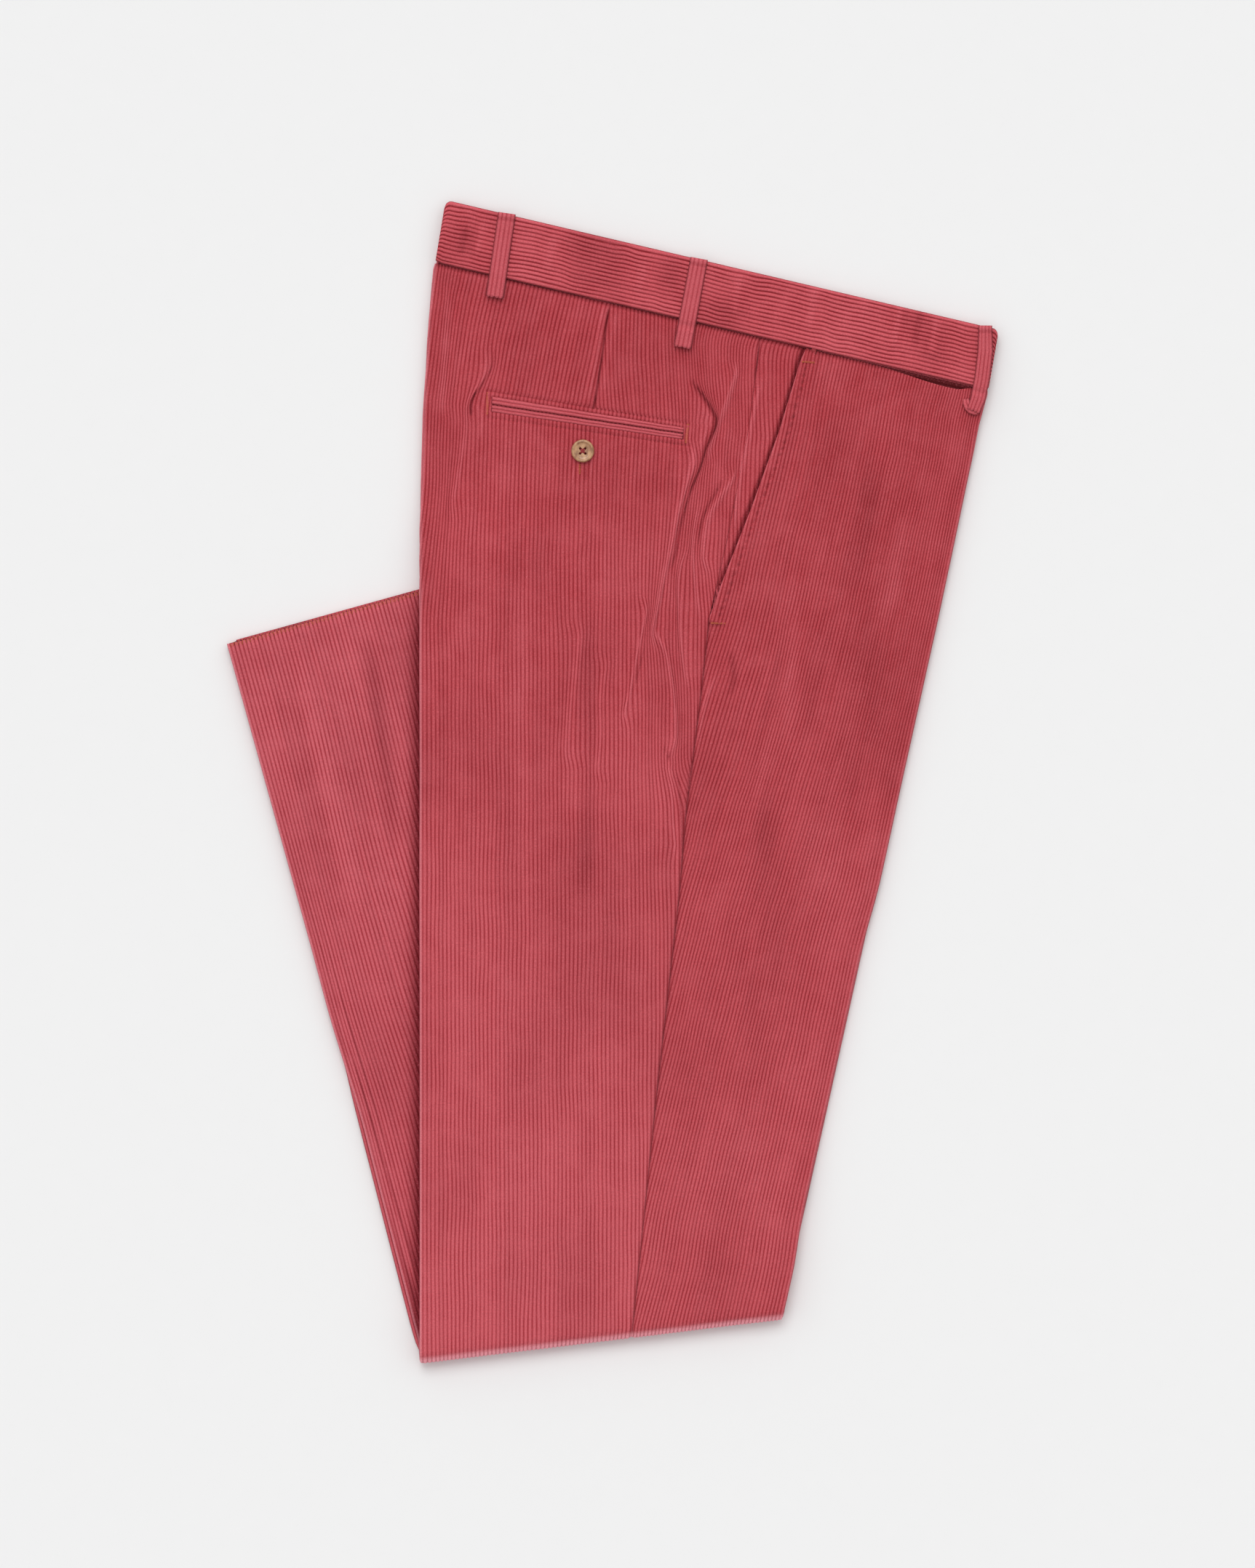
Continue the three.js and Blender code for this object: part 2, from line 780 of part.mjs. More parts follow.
// The four-hole button: a lathe-turned disc with a rim, drilled through.
function button() {
  const seat = Math.max(
    topHeight(buttonCentre.x, buttonCentre.y + buttonRadius),
    topHeight(buttonCentre.x, buttonCentre.y - buttonRadius),
  ) + waleRelief + seamGap;
  const segments = 32;
  const profile = [
    [0, 0],
    [buttonRadius - 1.4, 0],
    [buttonRadius, buttonHeight * 0.5],
    [buttonRadius - 0.5, buttonHeight * 0.92],
    [buttonRadius - 1.3, buttonHeight],
    [buttonRadius - 2.6, buttonHeight * 0.72],
    [0, buttonHeight * 0.62],
  ];
  let body = new wasm.CrossSection([profile], 'NonZero').revolve(segments);
  for (const sx of [-1, 1]) {
    for (const sy of [-1, 1]) {
      const hole = wasm.Manifold.cylinder(buttonHeight * 2, buttonHole, buttonHole, 12);
      const at = [sx * buttonHoleOffset, sy * buttonHoleOffset, -buttonHeight / 2];
      body = body.subtract(hole.translate(at));
    }
  }
  return body.translate([buttonCentre.x, buttonCentre.y, seat]);
}

// The rolled side of a stack of two legs: inset from the edge and height over its base.
const upperSideProfile = [
  { inset: 1.6, rise: 0.4 },
  { inset: 0.9, rise: 1.7 },
  { inset: 1.5, rise: 3.1 },
  { inset: 4.2, rise: 3.6 },
  { inset: 5, rise: 4.6 },
];
const lowerSideProfile = [
  { inset: 1.4, rise: 0.3 },
  { inset: 0.8, rise: 1.6 },
  { inset: 1.4, rise: 2.8 },
  { inset: 4.4, rise: 3.2 },
  { inset: 5, rise: 4 },
];

// A closed ring of points across a stack, from one side over the top to the other.
function stackRing(left, right, profile, baseAt, topAt, pieces) {
  const length = Math.hypot(right.x - left.x, right.y - left.y);
  const point = (inset, height) => {
    const spot = between(left, right, inset / length);
    return [spot.x, spot.y, height(spot)];
  };
  const ring = [point(footInset, () => 0)];
  for (const part of profile) {
    ring.push(point(part.inset, (spot) => baseAt(spot) + part.rise));
  }
  for (let i = 0; i <= pieces; i += 1) {
    const inset = topInset + ((length - 2 * topInset) * i) / pieces;
    ring.push(point(inset, topAt));
  }
  for (const part of [...profile].reverse()) {
    ring.push(point(length - part.inset, (spot) => baseAt(spot) + part.rise));
  }
  ring.push(point(length - footInset, () => 0));
  return ring;
}

// A solid through a run of like rings, closed by a flat fan at each end.
function loft(rings) {
  const wall = new Wall();
  const rows = rings.map((ring) => wall.row(ring.map((at, key) => ({ at, key }))));
  const size = rings[0].length;
  for (let j = 0; j < rows.length - 1; j += 1) {
    for (let i = 0; i < size; i += 1) {
      const next = (i + 1) % size;
      wall.face(rows[j][i].index, rows[j][next].index, rows[j + 1][next].index);
      wall.face(rows[j][i].index, rows[j + 1][next].index, rows[j + 1][i].index);
    }
  }
  const cap = (row, ring, flip) => {
    const middle = ring.reduce((sum, at) => sum.map((value, i) => value + at[i] / size), [0, 0, 0]);
    const centre = wall.row([{ key: 0, at: middle }])[0].index;
    for (let i = 0; i < size; i += 1) {
      const a = row[i].index;
      const b = row[(i + 1) % size].index;
      wall.face(...(flip ? [a, centre, b] : [b, centre, a]));
    }
  };
  cap(rows[0], rings[0], true);
  cap(rows.at(-1), rings.at(-1), false);
  return wall.solid();
}

// Inner layers of the upper legs.
function upperLayers() {
  const cornerAt = (x) => ({ x, y: slopedY(waistTop, x) - layersTop.drop });
  const ends = { back: cornerAt(layersTop.backX), front: cornerAt(layersTop.frontX) };
  const rows = [ends, ...legRows.filter((row) => row.turn === 0)];
  const top = (spot) => topHeight(spot.x, spot.y) + coreLift;
  const base = (spot) => baseHeight(spot.x, spot.y);
  const rings = rows.map((row) => {
    if (!row.seam) {
      return stackRing(row.back, row.front, upperSideProfile, base, top, 12);
    }
    const bent = stackRing(row.back, row.front, upperSideProfile, base, top, 12);
    return bent.map(([x, y, z]) => bendRow(row, x, y, z, top));
  });
  return loft(rings);
}

// Moves a ring point from the straight line between the edges on to the row that bends
// at the side seam, and sets a top point again at the height there.
function bendRow(row, x, y, z, top) {
  const from = x < row.seam.x ? row.back : row.seam;
  const to = x < row.seam.x ? row.seam : row.front;
  const bentY = from.y + ((to.y - from.y) * (x - from.x)) / (to.x - from.x);
  const wasTop = Math.abs(z - top({ x, y })) < 0.01;
  return [x, bentY, wasTop ? top({ x, y: bentY }) : z];
}

// Inner layers of the lower legs, folded back under the upper legs.
function lowerLayers() {
  const count = 7;
  const rings = [];
  const kneeLeft = kneeStart(lowerLegEdge);
  const kneeRight = { x: lowerLayersEnd, y: slopedY(kneeLine, lowerLayersEnd) + kneeRadius };
  for (let i = 0; i <= count; i += 1) {
    const t = i / count;
    const y = hemLine.from.y + (kneeLeft.y - hemLine.from.y) * t;
    const left = { x: lineX(lowerLegEdge, y), y };
    const right = between(hemLine.to, kneeRight, t);
    rings.push(stackRing(left, right, lowerSideProfile, () => 0, () => lowerTop + coreLift, 4));
  }
  return loft(rings);
}

// The raw hem shows each layer of cloth: three slabs with open grooves between them.
function hemLayers() {
  const { thickness, depth, fromSide, toSide, drop, lift } = hemSlab;
  return hemSlabs.map((layer) => {
    const from = { x: hemLine.from.x + fromSide, y: hemLine.from.y + drop + layer.out };
    const to = { x: hemLine.to.x - toSide, y: hemLine.to.y + layer.out - lift };
    const outline = [from, to, { x: to.x, y: to.y - depth }, { x: from.x, y: from.y - depth }];
    return prism(outline.reverse(), layer.low, layer.low + thickness);
  });
}

// A round bar between two points.
function bar(from, to, height, radius) {
  const length = Math.hypot(to.x - from.x, to.y - from.y);
  const angle = THREE.MathUtils.radToDeg(Math.atan2(to.y - from.y, to.x - from.x));
  return wasm.Manifold.cylinder(length, radius, radius, 16)
    .rotate([0, 90, 0])
    .rotate([0, 0, angle])
    .translate([from.x, from.y, height]);
}

// Layers inside the knee fold: a wide roll and, inside the edge rolls, a thin one.
function kneeLayers() {
  const left = kneeStart(backEdge);
  const right = kneeStart(frontEdge);
  const length = Math.hypot(right.x - left.x, right.y - left.y);
  const at = (inset) => between(left, right, inset / length);
  const roll = kneeRadius - clothWall - seamGap;
  const insets = { wide: 5.4, thin: 1.6 };
  const thin = kneeRadius - legHeight - seamGap;
  return [
    bar(at(insets.wide), at(length - insets.wide), kneeRadius, roll),
    bar(at(insets.thin), at(length - insets.thin), kneeRadius, thin),
  ];
}

function cutAll(body, rooms) {
  return rooms.reduce((left, room) => left.subtract(room), body);
}

function largestPiece(body) {
  const pieces = body.decompose();
  return pieces.sort((a, b) => b.volume() - a.volume())[0];
}

function meshOf(body, name, colour, roughness) {
  const { numProp, vertProperties, triVerts } = body.getMesh();
  const geometry = new THREE.BufferGeometry();
  const positions = new Float32Array((vertProperties.length / numProp) * 3);
  for (let i = 0; i < positions.length / 3; i += 1) {
    positions.set(vertProperties.subarray(i * numProp, i * numProp + 3), i * 3);
  }
  geometry.setAttribute('position', new THREE.BufferAttribute(positions, 3));
  geometry.setIndex(new THREE.BufferAttribute(new Uint32Array(triVerts), 1));
  geometry.computeVertexNormals();
  const material = new THREE.MeshStandardMaterial({ color: colour, roughness, metalness: 0 });
  const mesh = new THREE.Mesh(geometry, material);
  mesh.name = name;
  return mesh;
}

const backPanel = panelPieces(backSpots, legRows);
const frontPanel = panelPieces(frontSpots, legRows);
const facing = panelPieces(facingSpots, legRows.slice(0, facingRows));
const lowerPanel = lowerPieces();

const pocketOutline = [pocket.lower.from, pocket.lower.to, pocket.upper.to, pocket.upper.from];
const backCloth = backPanel.cloth.subtract(prism(pocketOutline, 0, 4 * stackHeight));
const frontCloth = frontPanel.cloth.subtract(prism([...coinPocket].reverse(), 0, 4 * stackHeight));

const bandLow = stackHeight + bandRise - bandThickness;
const bandWales = Math.round(bandWidth / bandWale);
const waistband = bandSolid(waistStations(bandLow, 0), bandWales, bandThickness, waleRelief);
const roomStations = waistStations(bandLow - seamGap, seamGap);
const bandRoom = bandSolid(roomStations, bandWales, bandThickness + 2, 0);
const leftBandInset = 0.8;
const leftBand = bandSolid(waistStations(0, -leftBandInset), 2, legHeight - seamGap, 0);

function hiddenLayers() {
  let body = upperLayers().add(lowerLayers()).add(leftBand);
  for (const part of [...hemLayers(), ...kneeLayers()]) {
    body = body.add(part);
  }
  const rooms = [backPanel.room, frontPanel.room, facing.room, lowerPanel.room, bandRoom];
  const far = 500;
  const square = [[-far, -far], [far, -far], [far, far], [-far, far]].map(([x, y]) => ({ x, y }));
  const floor = prism(square, -20, 0);
  return largestPiece(cutAll(body, rooms).subtract(floor));
}

const group = new THREE.Group();
group.name = 'corduroy_trousers';
group.add(
  meshOf(hiddenLayers(), 'hidden_layers', colours.hidden, layersRoughness),
  meshOf(backCloth, 'right_back_panel', colours.cloth, clothRoughness),
  meshOf(frontCloth, 'right_front_panel', colours.cloth, clothRoughness),
  meshOf(facing.cloth, 'side_pocket_facing', colours.cloth, clothRoughness),
  meshOf(lowerPanel.cloth, 'left_back_panel_lower', colours.lowerCloth, clothRoughness),
  meshOf(waistband, 'waistband', colours.band, clothRoughness),
  meshOf(beltLoop(backLoop), 'belt_loop_back', colours.loop, clothRoughness),
  meshOf(beltLoop(sideLoop), 'belt_loop_side', colours.loop, clothRoughness),
  meshOf(frontBeltLoop(), 'belt_loop_front', colours.loop, clothRoughness),
  meshOf(welt(pocket.upper, pocket.middle), 'back_pocket_upper_welt', colours.loop, clothRoughness),
  meshOf(welt(pocket.middle, pocket.lower), 'back_pocket_lower_welt', colours.loop, clothRoughness),
  meshOf(button(), 'back_pocket_button', colours.button, buttonRoughness),
);

export default group;
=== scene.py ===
"""Corduroy trousers lying folded flat: the cloth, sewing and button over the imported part.

All sizes in the classes are millimetres in the part's own frame: +Y is towards the waist,
+X towards the front crease and +Z up from the surface that the trousers lie on.
"""
import functools
import logging
import math
from dataclasses import dataclass, field
from enum import Enum
from typing import Callable, Sequence

import bpy
import numpy as np
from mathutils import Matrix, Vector


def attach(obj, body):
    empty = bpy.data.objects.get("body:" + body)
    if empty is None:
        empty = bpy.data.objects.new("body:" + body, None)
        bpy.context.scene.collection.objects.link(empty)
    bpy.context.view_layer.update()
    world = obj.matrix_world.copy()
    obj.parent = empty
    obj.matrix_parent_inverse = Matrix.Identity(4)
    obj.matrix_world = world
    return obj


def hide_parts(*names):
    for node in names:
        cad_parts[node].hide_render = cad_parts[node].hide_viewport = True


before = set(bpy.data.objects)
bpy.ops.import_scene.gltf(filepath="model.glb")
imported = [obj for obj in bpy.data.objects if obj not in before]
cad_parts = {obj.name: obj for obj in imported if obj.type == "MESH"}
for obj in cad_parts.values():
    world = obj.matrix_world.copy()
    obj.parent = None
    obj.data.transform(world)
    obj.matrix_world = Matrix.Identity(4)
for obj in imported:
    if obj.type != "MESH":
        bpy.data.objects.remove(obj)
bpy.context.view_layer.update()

LOG = logging.getLogger("trousers")
MM = 0.001
BODY = "root"
LEAST_SHEET = 0.01
Array = np.ndarray
Point = tuple[float, float]


def smooth(value: Array | float) -> Array:
    """Gives a soft step from 0 to 1."""
    t = np.clip(value, 0.0, 1.0)
    return t * t * (3.0 - 2.0 * t)


def between(start: Point, end: Point, share: float) -> Point:
    """Gives the point at a share of the way."""
    return (start[0] + (end[0] - start[0]) * share, start[1] + (end[1] - start[1]) * share)


@dataclass(frozen=True)
class Edge:
    """A line seen from above, as (y, x) rows from the waist downward."""

    rows: tuple[Point, ...]

    def x_at(self, y: float) -> float:
        """Finds x at a height, carried on straight past both ends.

        Args:
            y: the height on the garment.

        Returns:
            The x of the line there.
        """
        i = 0
        while i < len(self.rows) - 2 and y < self.rows[i + 1][0]:
            i += 1
        (y0, x0), (y1, x1) = self.rows[i], self.rows[i + 1]
        return x0 + (y - y0) * (x1 - x0) / (y1 - y0)


@dataclass(frozen=True)
class Slope:
    """A straight line across the garment."""

    x: float
    y: float
    rise: float

    def y_at(self, x: float) -> float:
        """Gives y on the line."""
        return self.y + self.rise * (x - self.x)


@functools.cache
def rounded_line(line: tuple[Point, ...]) -> tuple[Point, ...]:
    """Rounds a line's corners by cutting each of them twice.

    Args:
        line: the line's points.

    Returns:
        The points of the rounder line.
    """
    for _ in range(2):
        cut = [between(a, b, share) for a, b in zip(line, line[1:]) for share in (0.25, 0.75)]
        line = (line[0], *cut[1:-1], line[-1])
    return line


class Unevenness:
    """Soft random height from -1 to 1, the same in every run."""

    def __init__(self, seed: int, across: float, along: float) -> None:
        """Sets the pattern.

        Args:
            seed: number of the pattern.
            across: size of its patches in x, in mm.
            along: size of its patches in y, in mm.
        """
        self.grid = np.random.default_rng(seed).uniform(-1.0, 1.0, (96, 96))
        self.across = across
        self.along = along

    def at(self, x: Array, y: Array) -> Array:
        """Reads the pattern.

        Args:
            x: places in x.
            y: places in y.

        Returns:
            The heights there.
        """
        u = (np.asarray(x) + 900.0) / self.across
        v = (np.asarray(y) + 900.0) / self.along
        i, j = np.floor(u).astype(int), np.floor(v).astype(int)
        s, t = smooth(u - i), smooth(v - j)
        g = self.grid
        low = g[i % 96, j % 96] * (1 - s) + g[(i + 1) % 96, j % 96] * s
        high = g[i % 96, (j + 1) % 96] * (1 - s) + g[(i + 1) % 96, (j + 1) % 96] * s
        return low * (1 - t) + high * t


@dataclass(frozen=True)
class Fold:
    """A soft crease or ridge along a line, with its own reach on each side."""

    line: tuple[Point, ...]
    rise: float
    west: float
    east: float
    taper: float = 14.0
    pull: float = 0.0
    follow: float = 0.0

    def effect(self, x: Array, y: Array) -> tuple[Array, Array]:
        """Works out how far the fold lifts the cloth and moves its wales sideways.

        Args:
            x: places in x.
            y: places in y.

        Returns:
            Height, negative in a trough, and sideways shift at each place.
        """
        line = rounded_line(self.line)
        best = np.full(x.shape, 1e9)
        side = np.zeros(x.shape)
        run = np.zeros(x.shape)
        level = np.zeros(x.shape)
        start = 0.0
        for (x0, y0), (x1, y1) in zip(line, line[1:]):
            dx, dy = x1 - x0, y1 - y0
            length = math.hypot(dx, dy)
            t = np.clip(((x - x0) * dx + (y - y0) * dy) / length**2, 0.0, 1.0)
            away = np.hypot(x - x0 - dx * t, y - y0 - dy * t)
            near = away < best
            best = np.where(near, away, best)
            side = np.where(near, np.sign(dx * (y - y0) - dy * (x - x0)), side)
            run = np.where(near, start + t * length, run)
            level = np.where(near, x0 + dx * t, level)
            start += length
        width = np.where(side > 0, self.east, self.west)
        share = np.clip(best / width, 0.0, 1.0)
        ends = smooth(np.minimum(run, start - run) / self.taper + 0.1)
        rise = self.rise * (0.5 * (1 - smooth(share)) + 0.5 * (1 - share) ** 2) * ends
        near_line = np.exp(-((best / (self.west + self.east)) ** 2)) * ends
        middle = (self.line[0][0] + self.line[-1][0]) / 2
        shift = (self.follow * (level - middle) - self.pull * side * best) * near_line
        return rise, shift

    def box(self) -> tuple[float, float, float, float]:
        """Gives the limits of the fold's effect: low and high x, low and high y."""
        reach = 2.6 * (self.west + self.east)
        xs, ys = [p[0] for p in self.line], [p[1] for p in self.line]
        return min(xs) - reach, max(xs) + reach, min(ys) - reach, max(ys) + reach


@dataclass(frozen=True)
class Gather:
    """A stretch where the wales crowd together, along a line down the leg."""

    line: tuple[Point, ...]
    reach: float
    amount: float
    anchor: float = -40.0
    taper: float = 40.0

    def extra(self, x: Array, y: Array) -> Array:
        """Works out the wale distance that the crowding adds from the anchor to each place.

        Args:
            x: places in x.
            y: places in y.

        Returns:
            The added distance across the wales, negative to the left of the anchor.
        """
        middle = np.interp(-y, [-p[1] for p in self.line], [p[0] for p in self.line])
        ends = smooth((self.line[0][1] + self.taper - y) / self.taper)
        ends = ends * smooth((y - self.line[-1][1] + self.taper) / self.taper)
        reach = self.reach
        before = np.tanh((self.anchor - middle) / reach)
        return self.amount * reach * ends * (np.tanh((x - middle) / reach) - before)


@dataclass(frozen=True)
class Stack:
    """The flat stack of legs: its lines, its heights and its folds."""

    cloth: float = 1.2
    relief: float = 0.65
    seam_gap: float = 0.3
    close_gap: float = 0.04
    leg: float = 3.8
    edge_radius: float = 1.9
    lower_top: float = 7.2
    ramp: float = 78.0
    back_edge: Edge = Edge(((358, -122.7), (321, -126.3), (254, -130.3), (169, -132.6), (-398, -132.4)))
    front_edge: Edge = Edge(((272, 258.0), (246, 251.3), (109, 222.3), (-211, 151.3), (-351, 119.8)))
    side_seam: Edge = Edge(((306, 101.3), (244, 93.3), (169, 78.8), (114, 66.3), (59, 60.3),
                            (-25, 49.8), (-75, 45.8), (-211, 30.3), (-381, 12.8)))
    mouth: Edge = Edge(((299.5, 132.8), (291, 128.8), (243, 114.3), (189, 94.8), (137, 74.3), (117, 67.3)))
    lower_edge: Edge = Edge(((96.3, -265.3), (-111, -207.8), (-231, -175.8), (-371, -139.8), (-398, -132.3)))
    waist_seam: Slope = Slope(-121.3, 358.3, -0.23)
    waist_top: Slope = Slope(259.3, 313.8, -0.2345)
    knee: Slope = Slope(-111.3, -395.8, 0.118)
    hem: tuple[Point, Point] = ((-265.3, 96.3), (-77.3, 148.3))
    hidden_edge: tuple[Point, Point] = ((-77.3, 148.3), (118.8, -368.7))

    @property
    def height(self) -> float:
        """Height of two legs lying on each other."""
        return 2 * self.leg

    @property
    def base(self) -> float:
        """Height of the upper legs over the floor where they cross the lower legs."""
        return self.height + 0.4

    @property
    def knee_radius(self) -> float:
        """Radius of the knee fold."""
        return (self.base + self.height) / 2

    def base_at(self, x: Array, y: Array) -> Array:
        """Works out the underside of the upper legs, which ride up over the lower legs.

        Args:
            x: places in x.
            y: places in y.

        Returns:
            The height of the underside.
        """
        def past(line: tuple[Point, Point]) -> Array:
            """Distance past a line on its left, or 0."""
            (x0, y0), (x1, y1) = line
            dx, dy = x1 - x0, y1 - y0
            return np.maximum((dx * (y - y0) - dy * (x - x0)) / math.hypot(dx, dy), 0.0)

        return self.base * (1 - smooth(np.hypot(past(self.hem), past(self.hidden_edge)) / self.ramp))

    def top_at(self, x: Array, y: Array) -> Array:
        """Gives the height of the smooth upper cloth."""
        return self.base_at(x, y) + self.height

    def knee_start(self, edge: Edge) -> Point:
        """Finds where an edge starts to roll round the knee fold.

        Args:
            edge: the line that runs down to the knee.

        Returns:
            The point on it.
        """
        x = 0.0
        for _ in range(8):
            x = edge.x_at(self.knee.y_at(x) + self.knee_radius)
        return (x, self.knee.y_at(x) + self.knee_radius)


STACK = Stack()


@dataclass
class CrossRow:
    """One row of cloth across the upper legs, at each of its seams."""

    back: Point
    seam: Point
    front: Point
    turn: float = 0.0

    def mouth(self, edge: Edge) -> Point:
        """Finds where the row meets the slanted pocket mouth.

        Args:
            edge: the pocket mouth.

        Returns:
            The point on the row.
        """
        low, high = 0.0, 1.0
        for _ in range(24):
            middle = (low + high) / 2
            x, y = between(self.seam, self.front, middle)
            low, high = (middle, high) if x < edge.x_at(y) else (low, middle)
        return between(self.seam, self.front, low)


@dataclass(frozen=True)
class RowPlan:
    """The rows of a leg, from the waist seam to under the knee fold."""

    heights: tuple[tuple[float, float, float, float], ...] = (
        (358, 306.8, 270.8, 1.4), (352.4, 302.2, 266.2, 4.5), (318, 274, 238, 4.5), (286, 248.5, 211.5, 4.5),
        (274.4, 238.2, 200, 4.5), (262, 230.1, 192, 4.5), (252, 220, 182, 4.5), (238, 208, 169, 4.5),
        (200, 173, 136, 4.5), (162, 137, 102, 4.5), (118, 104, 68, 4.5), (60, 48, 14, 4.5),
        (-20, -30, -60, 7), (-130, -128, -150, 8), (-262, -247, -257, 7),
    )
    pocket_step: float = 4.5
    mouth_step: float = 4.5
    turn_steps: int = 13
    turn_end: float = 150.0

    def rows(self) -> list[CrossRow]:
        """Lists every row.

        Returns:
            The rows from the waist down, then round the knee fold.
        """
        start = tuple(STACK.knee_start(edge)[1]
                      for edge in (STACK.back_edge, STACK.side_seam, STACK.front_edge))
        rows: list[CrossRow] = []
        for here, after in zip(self.heights, [*self.heights[1:], (*start, 0.0)]):
            beside_pocket = 252 < here[0] <= 286
            step = min(here[3], self.pocket_step) if beside_pocket else here[3]
            beside_mouth = 118 < here[0] <= 352.4
            step = min(step, self.mouth_step) if beside_mouth else step
            count = max(1, math.ceil(abs(here[0] - after[0]) / step))
            for k in range(count):
                mixed = [a + (b - a) * k / count for a, b in zip(here[:3], after[:3])]
                rows.append(self.row_at(*mixed))
        for k in range(self.turn_steps + 1):
            row = self.row_at(*start)
            row.turn = math.radians(self.turn_end * k / self.turn_steps)
            rows.append(row)
        return rows

    def row_at(self, back: float, seam: float, front: float) -> CrossRow:
        """Makes a flat row from its heights at the back edge, side seam and front edge."""
        return CrossRow((STACK.back_edge.x_at(back), back), (STACK.side_seam.x_at(seam), seam),
                        (STACK.front_edge.x_at(front), front))


class Wale:
    """The shape of the corduroy's cords: broad flat crests and narrow grooves."""

    PHASES = (0.0, 0.1, 0.25, 0.5, 0.75, 0.9)

    @staticmethod
    def height(key: Array, pitch: float) -> Array:
        """Works out the height of the pile.

        Args:
            key: distance across the wales.
            pitch: width of a wale.

        Returns:
            Height from 0 in a groove to 1 on a crest.
        """
        return np.abs(np.sin(np.pi * np.asarray(key) / pitch)) ** 0.75

    @staticmethod
    def cover(key: Array, pitch: float) -> Array:
        """Works out how much of the cords' pile covers the ground cloth, from 0 in a groove to 1."""
        near = 0.5 - np.abs(np.mod(np.asarray(key) / pitch, 1.0) - 0.5)
        return smooth(near / 0.36)

    @classmethod
    def places(cls, start: float, end: float, pitch: float) -> list[tuple[float, bool]]:
        """Lists the points across the wales between two wale distances.

        Args:
            start: wale distance where the stretch starts.
            end: wale distance where it ends.
            pitch: width of a wale.

        Returns:
            The distance of each point, and whether the plain inside has it too.
        """
        clear = 0.06 * pitch
        first, last = math.floor(start / pitch), math.ceil(end / pitch)
        out = [((n + phase) * pitch, phase == 0 and n % 3 == 0)
               for n in range(first, last + 1) for phase in cls.PHASES]
        return [(key, kept) for key, kept in out if start + clear < key < end - clear]


class Border(Enum):
    """How a cloth row ends: free, in a sharp or soft seam, at the pocket mouth or under it."""

    FREE = "free"
    SEAM = "seam"
    SOFT = "soft"
    MOUTH = "mouth"
    UNDER = "under"

    def effect(self, away: Array) -> tuple[Array, Array]:
        """Works out how the border bends the cloth, and the shade and highlight painted beside it.

        Args:
            away: distance from the border.

        Returns:
            Height, and shade from -1 in a crease to 1 on a rubbed ridge.
        """
        # Beside a seam the negative shade is painted shade in its crease.
        if self is Border.SEAM:
            return -0.75 * np.exp(-((away / 1.5) ** 2)), -0.55 * np.exp(-((away / 1.2) ** 2))
        if self is Border.SOFT:
            near = np.exp(-((away / 1.4) ** 2))
            return -0.35 * near, -0.16 * near
        # The pocket mouth's raised edge gets a painted highlight.
        if self is Border.MOUTH:
            body = 2.2 * (0.4 + 0.6 * np.sqrt(np.clip(away / 1.3, 0, 1))) * (1 - smooth((away - 3.0) / 11.0))
            return body, 0.9 * np.exp(-((away / 0.8) ** 2))
        # Under the mouth's edge the facing gets painted shadow.
        if self is Border.UNDER:
            open_part = away - PocketFacing.tucked
            return -1.15 * (1 - smooth(open_part / 5.0)), -1.5 * (1 - smooth((open_part - 0.2) / 3.4))
        return np.zeros(away.shape), np.zeros(away.shape)


@dataclass
class Spots:
    """The points of one cloth row, before they are lifted into place."""

    key: list[float] = field(default_factory=list)
    x: list[float] = field(default_factory=list)
    y: list[float] = field(default_factory=list)
    arc: list[float] = field(default_factory=list)
    lift: list[float] = field(default_factory=list)
    kept: list[bool] = field(default_factory=list)
    turn: float = 0.0
    side: float = -1.0
    first: Border = Border.FREE
    last: Border = Border.FREE

    def add(self, key: float, at: Point, arc: float = 0.0, lift: float = 0.0, kept: bool = False) -> None:
        """Adds a point to the row.

        Args:
            key: distance across the wales.
            at: plan place, or the top of the edge roll for a point on the roll.
            arc: how far round the edge roll the point lies.
            lift: extra height of the cloth there.
            kept: whether the plain inside has this point too.
        """
        self.key.append(key)
        self.x.append(at[0])
        self.y.append(at[1])
        self.arc.append(arc)
        self.lift.append(lift)
        self.kept.append(kept)

    def fill(self, start: float, end: float, pitch: float, make: Callable[[float], tuple[Point, float, float]],
             keep_all: bool = False) -> None:
        """Adds the points of each wale between two wale distances.

        Args:
            start: wale distance where the stretch starts.
            end: wale distance where it ends.
            pitch: width of a wale.
            make: gives place, arc and extra lift at a share of the way.
            keep_all: whether the inside keeps each point.
        """
        for key, kept in Wale.places(start, end, pitch):
            at, arc, lift = make((key - start) / (end - start))
            self.add(key, at, arc, lift, keep_all or kept)


